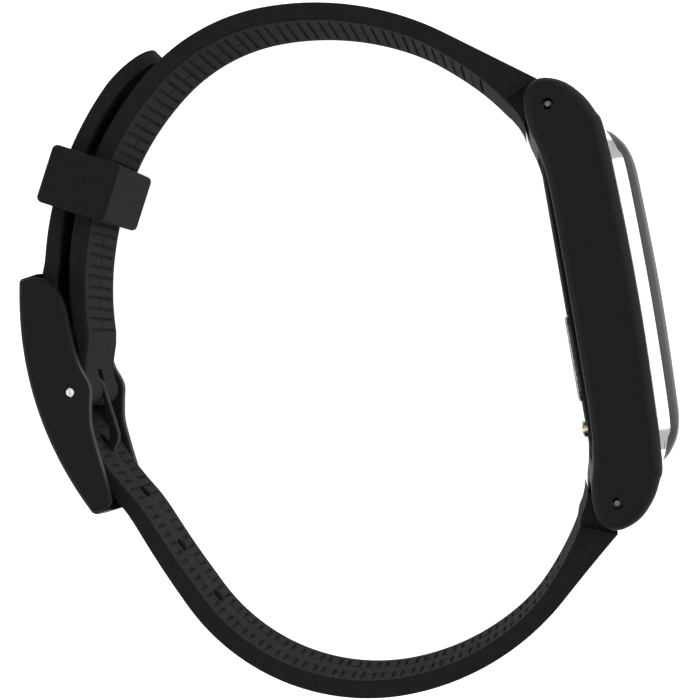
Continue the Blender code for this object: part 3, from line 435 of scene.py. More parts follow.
def soft_plate(name, outline, low, high, edge, steps=5):
    """An XY outline between two heights from the band's middle, with both its rims rounded."""
    if sum(a[0] * b[1] - b[0] * a[1] for a, b in zip(outline, outline[1:] + outline[:1])) < 0:
        outline = outline[::-1]
    sizes = [edge(*p) if callable(edge) else edge for p in outline]
    layers = []
    for side, end in ((-1, low), (1, high)):
        rings = []
        for i in range(steps + 1):
            turn = math.pi / 2 * i / steps
            share = 1 - math.sin(turn)
            ring = inset(outline, lambda x, y: share * (edge(x, y) if callable(edge) else edge))
            drop = 1 - math.cos(turn)
            rings.append([(x, y, end - side * size * drop + MIDDLE) for (x, y), size in zip(ring, sizes)])
        layers += rings if side < 0 else rings[::-1]
    return ring_body(name, layers)


def turned(name, profile, centre, sides=32):
    """A profile of radii and heights from the band's middle, turned about Z at an XY centre."""
    layers = []
    for radius, height in profile:
        ring = circle(centre, radius, sides)
        layers.append([(x, y, height + MIDDLE) for x, y in ring])
    return ring_body(name, layers)


def studded(name, profile, centre, sides=28):
    """A profile of radii and values of X, turned about X at a YZ centre."""
    layers = []
    for radius, x in profile:
        layers.append([(x, y, z + MIDDLE) for y, z in circle(centre, radius, sides)])
    return ring_body(name, layers)


def shape(obj, other, operation="DIFFERENCE"):
    """Cuts or joins one object with another, which is then removed."""
    change = obj.modifiers.new(operation.title(), "BOOLEAN")
    change.operation = operation
    change.object = other
    change.solver = "EXACT"
    graph = bpy.context.evaluated_depsgraph_get()
    made = bpy.data.meshes.new_from_object(obj.evaluated_get(graph))
    old = obj.data
    obj.modifiers.clear()
    obj.data = made
    bpy.data.meshes.remove(old)
    bpy.data.objects.remove(other)


def combined(name, objects):
    """One object that holds the meshes of several."""
    bm = bmesh.new()
    for obj in objects:
        bm.from_mesh(obj.data)
        bpy.data.objects.remove(obj)
    return new_object(name, mesh_from(name, bm))


def dressed(obj, finish, body, nodes, angle=35.0):
    """Gives a piece its shading, its material, its body, and the CAD nodes that it stands for."""
    obj.data.shade_smooth()
    obj.data.set_sharp_from_angle(angle=math.radians(angle))
    weighted = obj.modifiers.new("Normals", "WEIGHTED_NORMAL")
    weighted.keep_sharp = True
    obj.data.materials.clear()
    obj.data.materials.append(finish)
    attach(obj, body)
    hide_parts(*nodes)
    return obj


# Materials


class Finish:
    """A Principled material that is built up node by node, on the object's own coordinates."""

    def __init__(self, name, color, roughness, **sockets):
        self.material = bpy.data.materials.new(name)
        self.material.use_nodes = True
        self.tree = self.material.node_tree
        self.shader = self.tree.nodes["Principled BSDF"]
        self.shader.inputs["Base Color"].default_value = (*color, 1.0)
        self.shader.inputs["Roughness"].default_value = roughness
        for socket, value in sockets.items():
            self.shader.inputs[socket.replace("_", " ")].default_value = value
        self.place = self.tree.nodes.new("ShaderNodeTexCoord").outputs["Object"]

    def node(self, kind, **settings):
        made = self.tree.nodes.new("ShaderNode" + kind)
        for key, value in settings.items():
            setattr(made, key, value)
        return made

    def link(self, output, target):
        self.tree.links.new(output, target)

    def noise(self, size, detail=2.0, stretch=(1.0, 1.0, 1.0)):
        """A noise of about this feature size in millimetres, stretched along the axes."""
        mapping = self.node("Mapping")
        mapping.inputs["Scale"].default_value = stretch
        self.link(self.place, mapping.inputs["Vector"])
        noise = self.node("TexNoise")
        noise.inputs["Scale"].default_value = 1 / (size * MM)
        noise.inputs["Detail"].default_value = detail
        self.link(mapping.outputs["Vector"], noise.inputs["Vector"])
        return noise.outputs["Fac"]

    def mottle(self, size, dark, light, detail=3.0, stretch=(1.0, 1.0, 1.0)):
        """Varies the colour between two tones."""
        ramp = self.node("ValToRGB")
        ramp.color_ramp.elements[0].position = 0.3
        ramp.color_ramp.elements[1].position = 0.7
        ramp.color_ramp.elements[0].color = (*dark, 1.0)
        ramp.color_ramp.elements[1].color = (*light, 1.0)
        self.link(self.noise(size, detail, stretch), ramp.inputs["Fac"])
        self.link(ramp.outputs["Color"], self.shader.inputs["Base Color"])
        return ramp.outputs["Color"]

    def vary_roughness(self, size, low, high, stretch=(1.0, 1.0, 1.0)):
        spread = self.node("MapRange")
        spread.inputs["From Min"].default_value = 0.3
        spread.inputs["From Max"].default_value = 0.7
        spread.inputs["To Min"].default_value = low
        spread.inputs["To Max"].default_value = high
        self.link(self.noise(size, 3.0, stretch), spread.inputs["Value"])
        self.link(spread.outputs["Result"], self.shader.inputs["Roughness"])

    def grain(self, size, depth, strength=1.0, detail=2.0, stretch=(1.0, 1.0, 1.0)):
        """A fine relief of this depth in millimetres."""
        bump = self.node("Bump")
        bump.inputs["Strength"].default_value = strength
        bump.inputs["Distance"].default_value = depth * MM
        self.link(self.noise(size, detail, stretch), bump.inputs["Height"])
        self.link(bump.outputs["Normal"], self.shader.inputs["Normal"])


def make_finishes():
    """The materials, by material slot."""
    made = {}

    rubber = Finish("matte rubber", (0.0105, 0.0105, 0.011), 0.9, Specular_IOR_Level=0.08)
    rubber.mottle(0.5, (0.0095, 0.0095, 0.0100), (0.0115, 0.0115, 0.0120))
    rubber.vary_roughness(0.6, 0.86, 0.94)
    rubber.grain(0.16, 0.012, 0.55, 4.0)
    made["black_rubber"] = rubber

    plastic = Finish("satin moulded plastic", (0.0068, 0.0068, 0.0072), 0.58, Specular_IOR_Level=0.1)
    plastic.mottle(0.5, (0.0064, 0.0064, 0.0068), (0.0072, 0.0072, 0.0076))
    plastic.vary_roughness(0.6, 0.55, 0.61)
    plastic.grain(0.1, 0.006, 0.4, 3.0)
    made["black_plastic"] = plastic

    matte = Finish("matte moulded plastic", (0.008, 0.008, 0.0085), 0.92, Specular_IOR_Level=0.03)
    matte.mottle(0.5, (0.0075, 0.0075, 0.0080), (0.0085, 0.0085, 0.0090))
    matte.grain(0.1, 0.006, 0.4, 3.0)
    made["matte_plastic"] = matte

    metal = Finish("polished metal", (0.94, 0.94, 0.95), 0.14, Metallic=1.0)
    metal.vary_roughness(0.8, 0.10, 0.20, (1.0, 0.08, 1.0))
    metal.grain(0.08, 0.0015, 0.35, 2.0, (1.0, 0.04, 1.0))
    made["polished_metal"] = metal

    steel = Finish("brushed steel", (0.62, 0.62, 0.63), 0.28, Metallic=1.0)
    steel.vary_roughness(0.3, 0.22, 0.34)
    steel.grain(0.05, 0.002, 0.3, 2.0, (1.0, 1.0, 0.1))
    made["steel"] = steel

    bar = Finish("spring bar steel", (0.13, 0.13, 0.135), 0.4, Metallic=1.0)
    bar.vary_roughness(0.3, 0.34, 0.46)
    bar.grain(0.05, 0.002, 0.3)
    made["bar_steel"] = bar

    coated = Finish("black coated steel", (0.008, 0.008, 0.009), 0.75, Specular_IOR_Level=0.1)
    coated.mottle(0.8, (0.006, 0.006, 0.007), (0.010, 0.010, 0.011))
    coated.vary_roughness(0.6, 0.7, 0.8)
    coated.grain(0.06, 0.003, 0.4)
    made["coated_steel"] = coated

    made["dark_glass"] = glass_finish()

    window = Finish("clear sensor window", (0.86, 0.88, 0.90), 0.04, Transmission_Weight=1.0, IOR=1.47)
    window.vary_roughness(1.2, 0.03, 0.07)
    made["sensor_glass"] = window

    lacquer = Finish("circuit board lacquer", (0.02, 0.10, 0.05), 0.35)
    lacquer.mottle(0.5, (0.012, 0.06, 0.03), (0.03, 0.16, 0.08), 1.0, (1.0, 3.0, 1.0))
    lacquer.grain(0.4, 0.02, 0.5, 1.0)
    made["circuit_board"] = lacquer

    tinned = Finish("tinned metal", (0.62, 0.62, 0.64), 0.35, Metallic=1.0)
    tinned.vary_roughness(0.6, 0.28, 0.45)
    tinned.grain(0.3, 0.004, 0.4)
    made["tinned_metal"] = tinned

    gold = Finish("gold plate", (0.86, 0.76, 0.56), 0.25, Metallic=1.0)
    gold.vary_roughness(0.3, 0.14, 0.28)
    gold.grain(0.08, 0.002, 0.4)
    made["gold_plate"] = gold

    foil = Finish("battery foil", (0.52, 0.53, 0.55), 0.38, Metallic=0.7)
    foil.vary_roughness(1.0, 0.3, 0.5)
    foil.grain(1.4, 0.05, 0.6)
    made["battery_foil"] = foil

    film = Finish("flex film", (0.45, 0.22, 0.05), 0.35)
    film.mottle(0.3, (0.36, 0.17, 0.035), (0.52, 0.27, 0.07), 1.0, (1.0, 1.0, 6.0))
    film.grain(0.3, 0.006, 0.4, 1.0, (1.0, 1.0, 6.0))
    made["flex_film"] = film

    lens = Finish("green light lens", (0.25, 0.65, 0.30), 0.15, Coat_Weight=0.5)
    lens.mottle(0.4, (0.18, 0.55, 0.24), (0.32, 0.74, 0.36))
    made["led_lens"] = lens

    return {slot: finish.material for slot, finish in made.items()}


def glass_finish():
    """Near-black glass over the display, with a painted reflection: a lighter grey band along its two long
    sides, where the glass curves down, which is also rougher.
    """
    glass = Finish("display glass", (0.02, 0.02, 0.022), 0.06, IOR=1.5)
    split = glass.node("SeparateXYZ")
    glass.link(glass.place, split.inputs["Vector"])
    away = glass.node("Math", operation="SUBTRACT")
    away.inputs[1].default_value = MIDDLE * MM
    glass.link(split.outputs["Z"], away.inputs[0])
    far = glass.node("Math", operation="ABSOLUTE")
    glass.link(away.outputs[0], far.inputs[0])
    edge = HALF_BODY_WIDTH + RIM_OVERHANG
    # This band is where the reflection is painted: it puts a grey base colour on the curved long sides in
    # place of the near-black.
    band = glass.node("MapRange", interpolation_type="SMOOTHSTEP")
    band.inputs["From Min"].default_value = (edge - 1.5) * MM
    band.inputs["From Max"].default_value = (edge - 0.8) * MM
    glass.link(far.outputs[0], band.inputs["Value"])
    tone = glass.node("MapRange")
    tone.inputs["From Min"].default_value = 0.3
    tone.inputs["From Max"].default_value = 0.7
    tone.inputs["To Min"].default_value = 0.055
    tone.inputs["To Max"].default_value = 0.085
    glass.link(glass.noise(3.0, 2.0, (1.0, 0.3, 1.0)), tone.inputs["Value"])
    # The painted reflection's grey, with a tone that varies at random.
    painted_reflection_grey = glass.node("CombineColor")
    for channel in ("Red", "Green", "Blue"):
        glass.link(tone.outputs["Result"], painted_reflection_grey.inputs[channel])
    mixed = glass.node("Mix", data_type="RGBA")
    glass.link(band.outputs["Result"], mixed.inputs["Factor"])
    colors = [socket for socket in mixed.inputs if socket.type == "RGBA"]
    colors[0].default_value = (0.006, 0.006, 0.007, 1.0)
    glass.link(painted_reflection_grey.outputs["Color"], colors[1])
    result = next(socket for socket in mixed.outputs if socket.type == "RGBA")
    glass.link(result, glass.shader.inputs["Base Color"])
    rough = glass.node("MapRange")
    rough.inputs["To Min"].default_value = 0.05
    rough.inputs["To Max"].default_value = 0.42
    glass.link(band.outputs["Result"], rough.inputs["Value"])
    glass.link(rough.outputs["Result"], glass.shader.inputs["Roughness"])
    return glass


# Cradle


def cradle_outline():
    half = [(x, y + HALF_BARS) for x, y in CRADLE_OUTLINE]
    lower = mirrored(half)[::-1]
    return spline([(CRADLE_FRONT, 0.0)] + half + [(CRADLE_BACK, 0.0)] + lower, 10, closed=True)


def cradle_edge(x, y):
    share = min(max((x - CRADLE_BACK) / (CRADLE_FRONT - CRADLE_BACK) * 1.5, 0.0), 1.0)
    return CRADLE_BACK_EDGE + (CRADLE_EDGE - CRADLE_BACK_EDGE) * share


def cradle(finishes):
    shell = soft_plate("cradle", cradle_outline(), -HALF_WIDTH, HALF_WIDTH, cradle_edge, steps=8)
    pocket = body_plan(-FIT_GAP)
    reach = 2 * HALF_WIDTH
    shape(shell, wall("pocket", pocket, -reach, reach))
    for side, name in ((1, "upper"), (-1, "lower")):
        bar = (0.0, side * HALF_BARS)
        turn = 0 if side > 0 else 180
        slot = arc(bar, SLOT_RADIUS, turn - SLOT_SHOULDER, turn - 180 + SLOT_SHOULDER, 40)
        away = side * reach
        slot += [(-away, bar[1]), (-away, bar[1] + away), (away, bar[1] + away), (away, bar[1])]
        shape(shell, prism(name + "_slot", slot, -HALF_LUG_GAP, HALF_LUG_GAP))
        shape(shell, rod(name + "_lug_hole", bar, LUG_HOLE_RADIUS, -reach, reach))
    dressed(shell, finishes["black_plastic"], "cradle", ["cradle_frame"])


# Tracker module


def rim_line(top, half_line, shift=0.0, steps=8):
    end = HALF_BODY + RIM_OVERHANG
    half = [(x + shift, y + end) for x, y in half_line]
    return spline(mirrored(half)[::-1] + [(top + shift, 0.0)] + half, steps)


def base_line(steps=24):
    end = HALF_BODY + RIM_OVERHANG + FACE_GAP
    stations = [-1 + 2 * i / steps for i in range(steps + 1)]
    return [(BEZEL_BASE - BASE_DROP * t**2, t * end) for t in stations]


def on_line(line, y):
    """The line's X at a Y."""
    for a, b in zip(line, line[1:]):
        if a[1] <= y <= b[1]:
            return a[0] + (b[0] - a[0]) * (y - a[1]) / (b[1] - a[1])
    return line[0][0] if y < line[0][1] else line[-1][0]


def bowed_plate(name, plan, rows, bottom, top, spacing=0.5):
    """A YZ outline between two lines over the module. Each row is a share of the height and an inset."""
    bm = bmesh.new()
    loops = []
    for share, inwards in rows:
        loops.append([bm.verts.new((share, y, z)) for y, z in inset(plan, inwards)])
    bm.faces.new(loops[0])
    bm.faces.new(loops[-1])
    count = len(plan)
    for below, above in zip(loops, loops[1:]):
        for i in range(count):
            j = (i + 1) % count
            bm.faces.new((below[i], below[j], above[j], above[i]))
    end = max(y for y, z in plan)
    cuts = round(2 * end / spacing)
    for i in range(1, cuts):
        y = end * math.sin(math.pi * (i / cuts - 0.5))
        parts = bm.verts[:] + bm.edges[:] + bm.faces[:]
        bmesh.ops.bisect_plane(bm, geom=parts, dist=1e-5, plane_co=(0, y, 0), plane_no=(0, 1, 0))
    for vert in bm.verts:
        share, y, z = vert.co
        low, high = on_line(bottom, y), on_line(top, y)
        vert.co = Vector((low + (high - low) * share, y, z + MIDDLE)) * MM
    return new_object(name, mesh_from(name, bm))


def body_plan(inwards=0.0):
    corner = max(BODY_CORNER - inwards, 0.5)
    return rounded_rectangle(BODY_LENGTH - 2 * inwards, 2 * (HALF_BODY_WIDTH - inwards), corner)


def bezel(finishes):
    """A polished rim with a fine groove along it."""
    rows = [(0.0, 0.0), (0.6, 0.0), (0.62, 0.16), (0.69, 0.16), (0.71, 0.0), (1.0, 0.0)]
    rim = bowed_plate("bezel", body_plan(-RIM_OVERHANG), rows, base_line(), rim_line(BEZEL_TOP, BEZEL_LINE))
    foot = HOUSING_TOP + SEAL_HEIGHT + 2 * FACE_GAP
    spigot = bowed_plate("spigot", body_plan(), [(0.0, 0.0), (1.0, 0.0)], [(foot, -99.0), (foot, 99.0)],
                         rim_line(BEZEL_TOP, BEZEL_LINE, -FACE_GAP), 2.0)
    shape(rim, spigot, "UNION")
    shape(rim, wall("hollow", body_plan(BEZEL_WALL), foot - 1, GLASS_TOP + 1))
    dressed(rim, finishes["polished_metal"], "module", ["module_bezel"])


def display_glass(finishes):
    turn = [math.pi / 2 * i / 6 for i in range(7)]
    rows = [(0.0, 0.02), (0.03, 0.0)]
    rows += [(0.55 + 0.45 * math.sin(a), 0.75 * (1 - math.cos(a))) for a in turn]
    lower, upper = rim_line(BEZEL_TOP, BEZEL_LINE, SEAM), rim_line(GLASS_TOP, GLASS_LINE)
    glass = bowed_plate("display_glass", body_plan(-RIM_OVERHANG), rows, lower, upper)
    dressed(glass, finishes["dark_glass"], "module", ["cover_glass"])


def sensor_glass(finishes):
    """The clear window over the optical sensor, with its rim rounded towards the wrist."""
    back = HOUSING_BACK - WINDOW_RISE
    top = HOUSING_BACK + HOUSING_WALL - FACE_GAP
    depth = top - back
    turn = [math.pi / 2 * i / 5 for i in range(6)]
    rows = [((1 - math.sin(a)) * 0.35 / depth, 0.35 * (1 - math.cos(a))) for a in reversed(turn)]
    plan = [(y + SENSOR_CENTRE, z) for y, z in rounded_rectangle(*WINDOW_SIZE, 1.4)]
    flat = [[(x, -99.0), (x, 99.0)] for x in (back, top)]
    window = bowed_plate("sensor_lens", plan, rows + [(1.0, 0.0)], *flat, spacing=9.0)
    dressed(window, finishes["sensor_glass"], "module", ["sensor_window"])


def contacts(finishes):
    low = HOUSING_BACK - CONTACT_RISE
    high = low + CONTACT_DEPTH
    for side, end in ((1, "near"), (-1, "far")):
        profile = [
            (CONTACT_RADIUS - 0.3, low), (CONTACT_RADIUS - 0.1, low + 0.04),
            (CONTACT_RADIUS, low + 0.15), (CONTACT_RADIUS, high),
        ]
        stud = studded("charging_pad_" + end, profile, (CONTACT_CENTRE, side * CONTACT_SPACING / 2))
        dressed(stud, finishes["gold_plate"], "module", ["charge_contact_" + end])


# Straps


def thickness_at(distance, thinned):
    swell = LUG_SWELL * max(1 - distance / SWELL_LENGTH, 0.0) ** 3
    share = min(max(1 - (thinned - distance) / TAPER_LENGTH, 0.0), 1.0)
    return STRAP_THICKNESS + swell - (STRAP_THICKNESS - TAIL_THICKNESS) * share


def lug_end(bar, side):
    """The skirt and the eye round the spring bar, from the strap's inner face to its outer one."""
    skirt = [(x, side * y) for x, y in SKIRT]
    eye = arc((0.0, 0.0), EYE_RADIUS, -168, 100, 36)
    return [(x + bar[0], y + bar[1]) for x, y in skirt + [(x, side * y) for x, y in eye]]


def tab_trim(strap, route, thickness, side):
    """Narrows the tab between the lugs, on the cradle's side of the strap's slanted end."""
    outer = route.at(0.0)[0]
    inner = route.beside(END_SLANT, side * thickness(END_SLANT))
    slant = (inner - outer).normalized()
    reach = 3 * SLOT_RADIUS
    back = Vector((0.0, -side * reach))
    corners = [outer - slant * reach, inner + slant * reach]
    outline = [tuple(p) for p in (corners[0], corners[1], corners[1] + back, corners[0] + back)]
    edge = HALF_STRAP - TAB_INSET
    for low, high in ((edge, HALF_STRAP + 1), (-HALF_STRAP - 1, -edge)):
        shape(strap, prism("tab_trim", outline, low, high))


def across_strap(point, ahead):
    """A frame at a point of a strap, whose X runs along the strap and whose Y runs across it."""
    along = Vector((ahead.x, ahead.y, 0))
    across = Vector((0, 0, 1))
    turn = Matrix((along, across, along.cross(across))).transposed().to_4x4()
    return Matrix.Translation((point.x, point.y, MIDDLE)) @ turn


def oval_hole(strap, point, ahead, stretch):
    radius = (HOLE_LENGTH + stretch) / 2
    straight = HOLE_WIDTH / 2 - radius
    outline = arc((0.0, straight), radius, 0, 180, 16) + arc((0.0, -straight), radius, 180, 360, 16)
    if straight < 0:
        outline = circle((0.0, 0.0), radius)
    reach = 1.5 * STRAP_THICKNESS
    shape(strap, prism("hole", outline, -reach, reach, across_strap(point, ahead)))


def groove_figure(length_ends, link):
    """Two grooves across a strap, with a link between them, as one outline centred between the two."""
    low, high = length_ends
    far, near = (GROOVE_SPACING + GROOVE_WIDTH) / 2, (GROOVE_SPACING - GROOVE_WIDTH) / 2
    left, right = link - GROOVE_WIDTH / 2, link + GROOVE_WIDTH / 2
    return [
        (-far, low), (-near, low), (-near, left), (near, left), (near, low), (far, low),
        (far, high), (near, high), (near, right), (-near, right), (-near, high), (-far, high),
    ]


def tidy_outline(outline):
    """The outline without repeated points."""
    kept = []
    for p in outline:
        if not kept or (Vector(p) - Vector(kept[-1])).length > 1e-4:
            kept.append(p)
    return kept


def groove_cutter(route, side, thickness, figures):
    """One cutter for every groove of a strap. Each figure is its distance along and its outline."""
    plates = []
    for distance, outline in figures:
        ahead = route.at(distance)[1]
        place = across_strap(route.beside(distance, side * thickness(distance)), ahead)
        ends = min(y for x, y in outline), max(y for x, y in outline)
        middle, half = sum(ends) / 2, (ends[1] - ends[0]) / 2
        layers = []
        for height in (-GROOVE_PROUD, GROOVE_DEPTH):
            share = 1 - GROOVE_RUN_OUT / half * height / GROOVE_DEPTH
            ring = [(x, middle + (y - middle) * share) for x, y in outline]
            layers.append([tuple(place @ Vector((x, y, side * height))) for x, y in ring])
        plates.append(ring_body("groove", layers))
    return combined("grooves", plates)


def upper_strap(route, buckle, finishes):
    bar = (0.0, HALF_BARS)

    def thickness(distance):
        return thickness_at(distance, route.length)

    outer = [tuple(route.at(d)[0]) for d in route.stations(STATION)]
    inner = [tuple(route.beside(d, thickness(d))) for d in route.stations(STATION, END_SLANT)]
    inner = inner[: -KNUCKLE_BLEND]
    pin = tuple(buckle.pin)
    knuckle = arc(pin, KNUCKLE_RADIUS, 130, 380, 40)
    ahead = (Vector(inner[-1]) - Vector(inner[-2])).normalized()
    into = (Vector(knuckle[-2]) - Vector(knuckle[-1])).normalized()
    inner += [tuple(p) for p in blend(Vector(inner[-1]), ahead, Vector(knuckle[-1]), into, KNUCKLE_BLEND)]
    outline = outer + knuckle + inner[::-1] + lug_end(bar, 1)
    strap = soft_plate("upper_strap", outline, -HALF_STRAP, HALF_STRAP, STRAP_EDGE)
    tab_trim(strap, route, thickness, 1)
    reach = HALF_STRAP + 1
    shape(strap, rod("eye", bar, TUBE_RADIUS + PIN_GAP, -reach, reach))
    shape(strap, rod("knuckle", pin, PIN_RADIUS + PIN_GAP, -reach, reach))
    half = NOTCH_WIDTH / 2
    shape(strap, rod("notch", pin, NOTCH_RADIUS, -half, half))
    figures = []
    distance = UPPER_GROOVES_START
    while distance < route.length - UPPER_GROOVES_END:
        figures.append((distance, groove_figure((-GROOVE_HALF_LENGTH, GROOVE_HALF_LENGTH), 0.0)))
        distance += 2 * GROOVE_SPACING
    shape(strap, groove_cutter(route, 1, thickness, figures))
    dressed(strap, finishes["black_rubber"], "upper_strap", ["strap_upper"])


def lower_strap(route, buckle, finishes):
    bar = (0.0, -HALF_BARS)
    tongue_at = route.where(-TAIL_THICKNESS / 2, buckle.pin, HOOK_RADIUS)
    mouth = route.nearest(buckle.place(-BUCKLE_HALF_LENGTH, threaded_outer(-BUCKLE_HALF_LENGTH)))

    def thickness(distance):
        return thickness_at(distance, mouth)

    outer = [tuple(route.at(d)[0]) for d in route.stations(STATION)]
    inner = [tuple(route.beside(d, -thickness(d))) for d in route.stations(STATION, END_SLANT)]
    outline = outer + inner[::-1] + lug_end(bar, -1)
    strap = soft_plate("lower_strap", outline, -HALF_STRAP, HALF_STRAP, STRAP_EDGE)
    tab_trim(strap, route, thickness, -1)
    reach = HALF_STRAP + 1
    shape(strap, rod("eye", bar, TUBE_RADIUS + PIN_GAP, -reach, reach))
    for i in range(-HOLES_BEFORE, HOLES_AFTER + 1):
        distance = tongue_at + i * HOLE_PITCH
        middle = route.beside(distance, -thickness(distance) / 2)
        oval_hole(strap, middle, route.at(distance)[1], HOLE_STRETCH if i == 0 else 0.0)
    tip, ahead = route.at(route.length)
    arch_end(strap, tip, ahead, TIP_LENGTH, HALF_STRAP, 8 * STRAP_THICKNESS)
    figures = []
    first = tongue_at - FIGURE_PITCH * math.floor((tongue_at - LOWER_GROOVES_START) / FIGURE_PITCH)
    distance = first
    while distance < route.length - TIP_LENGTH:
        figures.append((distance, groove_figure((FIGURE_INNER, FIGURE_OUTER), FIGURE_LINK_NEAR)))
        figures.append((distance, groove_figure((-FIGURE_OUTER, -FIGURE_INNER), -FIGURE_LINK_FAR)))
        distance += FIGURE_PITCH
    shape(strap, groove_cutter(route, -1, thickness, figures))
    dressed(strap, finishes["black_rubber"], "lower_strap", ["strap_lower"])


def arch_end(obj, point, ahead, depth, half_width, thickness):
    """Gives a flat piece an arched end in plan. Ahead is the way that the end points."""
    wide = half_width + 1
    half_turn = arc((0.0, 0.0), 1.0, 90, -90, 40)
    arch = [(depth * (x - 1), half_width * y) for x, y in half_turn]
    outline = [(-depth, wide)] + arch + [(-depth, -wide), (depth, -wide), (depth, wide)]
    place = across_strap(point, ahead)
    shape(obj, prism("arch", tidy_outline(outline), -thickness / 2, thickness / 2, place))


def keeper(route, finishes):
    station = route.length - KEEPER_STATION
    radius = UPPER_BENDS[-1][0] / math.radians(UPPER_BENDS[-1][1])
    centre = route.beside(station, radius)
    out = (route.at(station)[0] - centre).normalized()
    side = Vector((-out.y, out.x))
    inner = radius - STRAP_THICKNESS - KEEPER_GAP - KEEPER_SLACK
    outer = radius + TAIL_GAP + TAIL_THICKNESS + KEEPER_GAP
    low, high = inner - KEEPER_WALL, outer + KEEPER_WALL
    middle = centre + out * (low + high) / 2
    plan = rounded_rectangle(high - low, KEEPER_LENGTH, KEEPER_CORNER, 8)
    outline = [tuple(middle + out * x + side * y) for x, y in plan]
    half_width = HALF_STRAP + KEEPER_GAP + KEEPER_SIDE
    loop = soft_plate("keeper", outline, -half_width, half_width, KEEPER_EDGE, steps=6)
    angle = math.degrees(math.atan2(out.y, out.x))
    half = math.degrees(KEEPER_LENGTH / radius)
    opening = arc(centre, outer, angle - half, angle + half, 24)
    opening += arc(centre, inner, angle + half, angle - half, 24)
    edge = HALF_STRAP + KEEPER_GAP
    shape(loop, prism("opening", opening, -edge, edge))
    dressed(loop, finishes["black_rubber"], "keeper", ["keeper_loop"])


# Buckle


def buckle_frame(buckle, finishes):
    steps = 40
    ends = [-BUCKLE_HALF_LENGTH + 2 * BUCKLE_HALF_LENGTH * i / steps for i in range(steps + 1)]
    outer = [(along, buckle_outer(along) + BUCKLE_CROWN) for along in ends]
    inner = spline([outer[-1], *ARM_INNER, outer[0]], 6)
    outline = buckle.outline(outer + inner[1:-1])

    def edge(x, y):
        out, along = buckle.outward(x, y)
        share = min(max((buckle_outer(along) + BUCKLE_CROWN - out) / 1.5, 0.0), 1.0)
        return BUCKLE_OUTER_EDGE + (BUCKLE_EDGE - BUCKLE_OUTER_EDGE) * share

    inside = HALF_WIDTH - ARM_WIDTH
    body = soft_plate("buckle", outline, inside, HALF_WIDTH, edge)
    shape(body, soft_plate("far_arm", outline, -HALF_WIDTH, -inside, edge), "UNION")
    across = HALF_WIDTH - BUCKLE_OUTER_EDGE - FACE_GAP
    for side in (1, -1):
        start = BUCKLE_HALF_LENGTH - CROSSBAR_LENGTH
        span = CROSSBAR_LENGTH + BUCKLE_END_BOW
        stations = [side * (start + span * i / 12) for i in range(13)]
        face = [(along, buckle_outer(along) + BUCKLE_CROWN - FACE_GAP) for along in stations]
        back = [(along, buckle_outer(along) - CROSSBAR_THICKNESS) for along in reversed(stations)]
        bar = prism("crossbar", buckle.outline(face + back), -across, across)
        end = buckle.place(side * (BUCKLE_HALF_LENGTH + BUCKLE_END_BOW), BUCKLE_END_OUT)
        arch_end(bar, end, side * buckle.up, BUCKLE_END_BOW, HALF_WIDTH, 4 * CROSSBAR_THICKNESS)
        shape(body, bar, "UNION")
    reach = HALF_WIDTH + 1
    shape(body, rod("pin_hole", buckle.pin, PIN_RADIUS + PIN_GAP, -reach, reach))
    dressed(body, finishes["black_plastic"], "buckle", ["buckle_frame"])


def buckle_pin(buckle, finishes):
    end = HALF_WIDTH - FACE_GAP
    chamfer = 0.07
    ends = [(PIN_RADIUS - chamfer, end), (PIN_RADIUS, end - chamfer)]
    profile = [(radius, -height) for radius, height in ends] + ends[::-1]
    pin = turned("pin", profile, buckle.pin)
    for side in (1, -1):
        x, y = buckle.pin
        half_length, half_slot = 2 * PIN_RADIUS, SLOT_WIDTH / 2
        slot = [(x - half_slot, y - half_length), (x + half_slot, y - half_length),
                (x + half_slot, y + half_length), (x - half_slot, y + half_length)]
        depth = (side * end - SLOT_DEPTH, side * end + SLOT_DEPTH)
        shape(pin, prism("pin_slot", slot, *depth))
    dressed(pin, finishes["steel"], "buckle", ["buckle_pin"])


def tongue(buckle, finishes):
    """The hook that pivots on the pin. Its end is round the pin, so it swings straight out of the hole."""
    eye_outer = KNUCKLE_RADIUS - RUN_GAP + FACE_GAP
    eye_radius = (TONGUE_FACE + eye_outer) / 2
    eye = arc((0.0, eye_outer - eye_radius), eye_radius, 232, -90, 40)
    outer_radius = HOOK_RADIUS + HOOK_THICKNESS / 2
    inner_radius = HOOK_RADIUS - HOOK_THICKNESS / 2
    bend = HOOK_RADIUS - 1.7

    def on_hook(radius, out):
        return (-math.sqrt(radius**2 - out**2), out)

    high, low = HOOK_REACH - 0.2, 1.1 - TONGUE_FACE
    outer_side = [on_hook(outer_radius, low + (high - low) * i / 10) for i in range(11)]
    low = TONGUE_THICKNESS + 0.5 - TONGUE_FACE
    inner_side = [on_hook(inner_radius, high + (low - high) * i / 10) for i in range(11)]
    tip = [(-HOOK_RADIUS * 0.955, HOOK_REACH + 0.15)]
    face = -TONGUE_FACE
    corner = spline([(-bend, face), (-bend - 1.0, face + 0.15), (-bend - 1.75, face + 0.7)], 5)
    outline = eye + corner + outer_side + tip + inner_side + [(-bend - 0.6, TONGUE_THICKNESS - TONGUE_FACE)]
    half = TONGUE_WIDTH / 2
    hook = soft_plate("tongue", buckle.outline(outline), -half, half, TONGUE_EDGE, steps=4)
    shape(hook, rod("tongue_hole", buckle.pin, PIN_RADIUS + PIN_GAP, -half - 1, half + 1))
    dressed(hook, finishes["coated_steel"], "tongue", ["buckle_tongue"])


# Spring bar tips


def head_end():
    """The height at which a tip's head ends, inside its tube."""
    return HALF_LUG_GAP - TUBE_END_GAP - TUBE_LIP_LENGTH - TIP_SETBACK


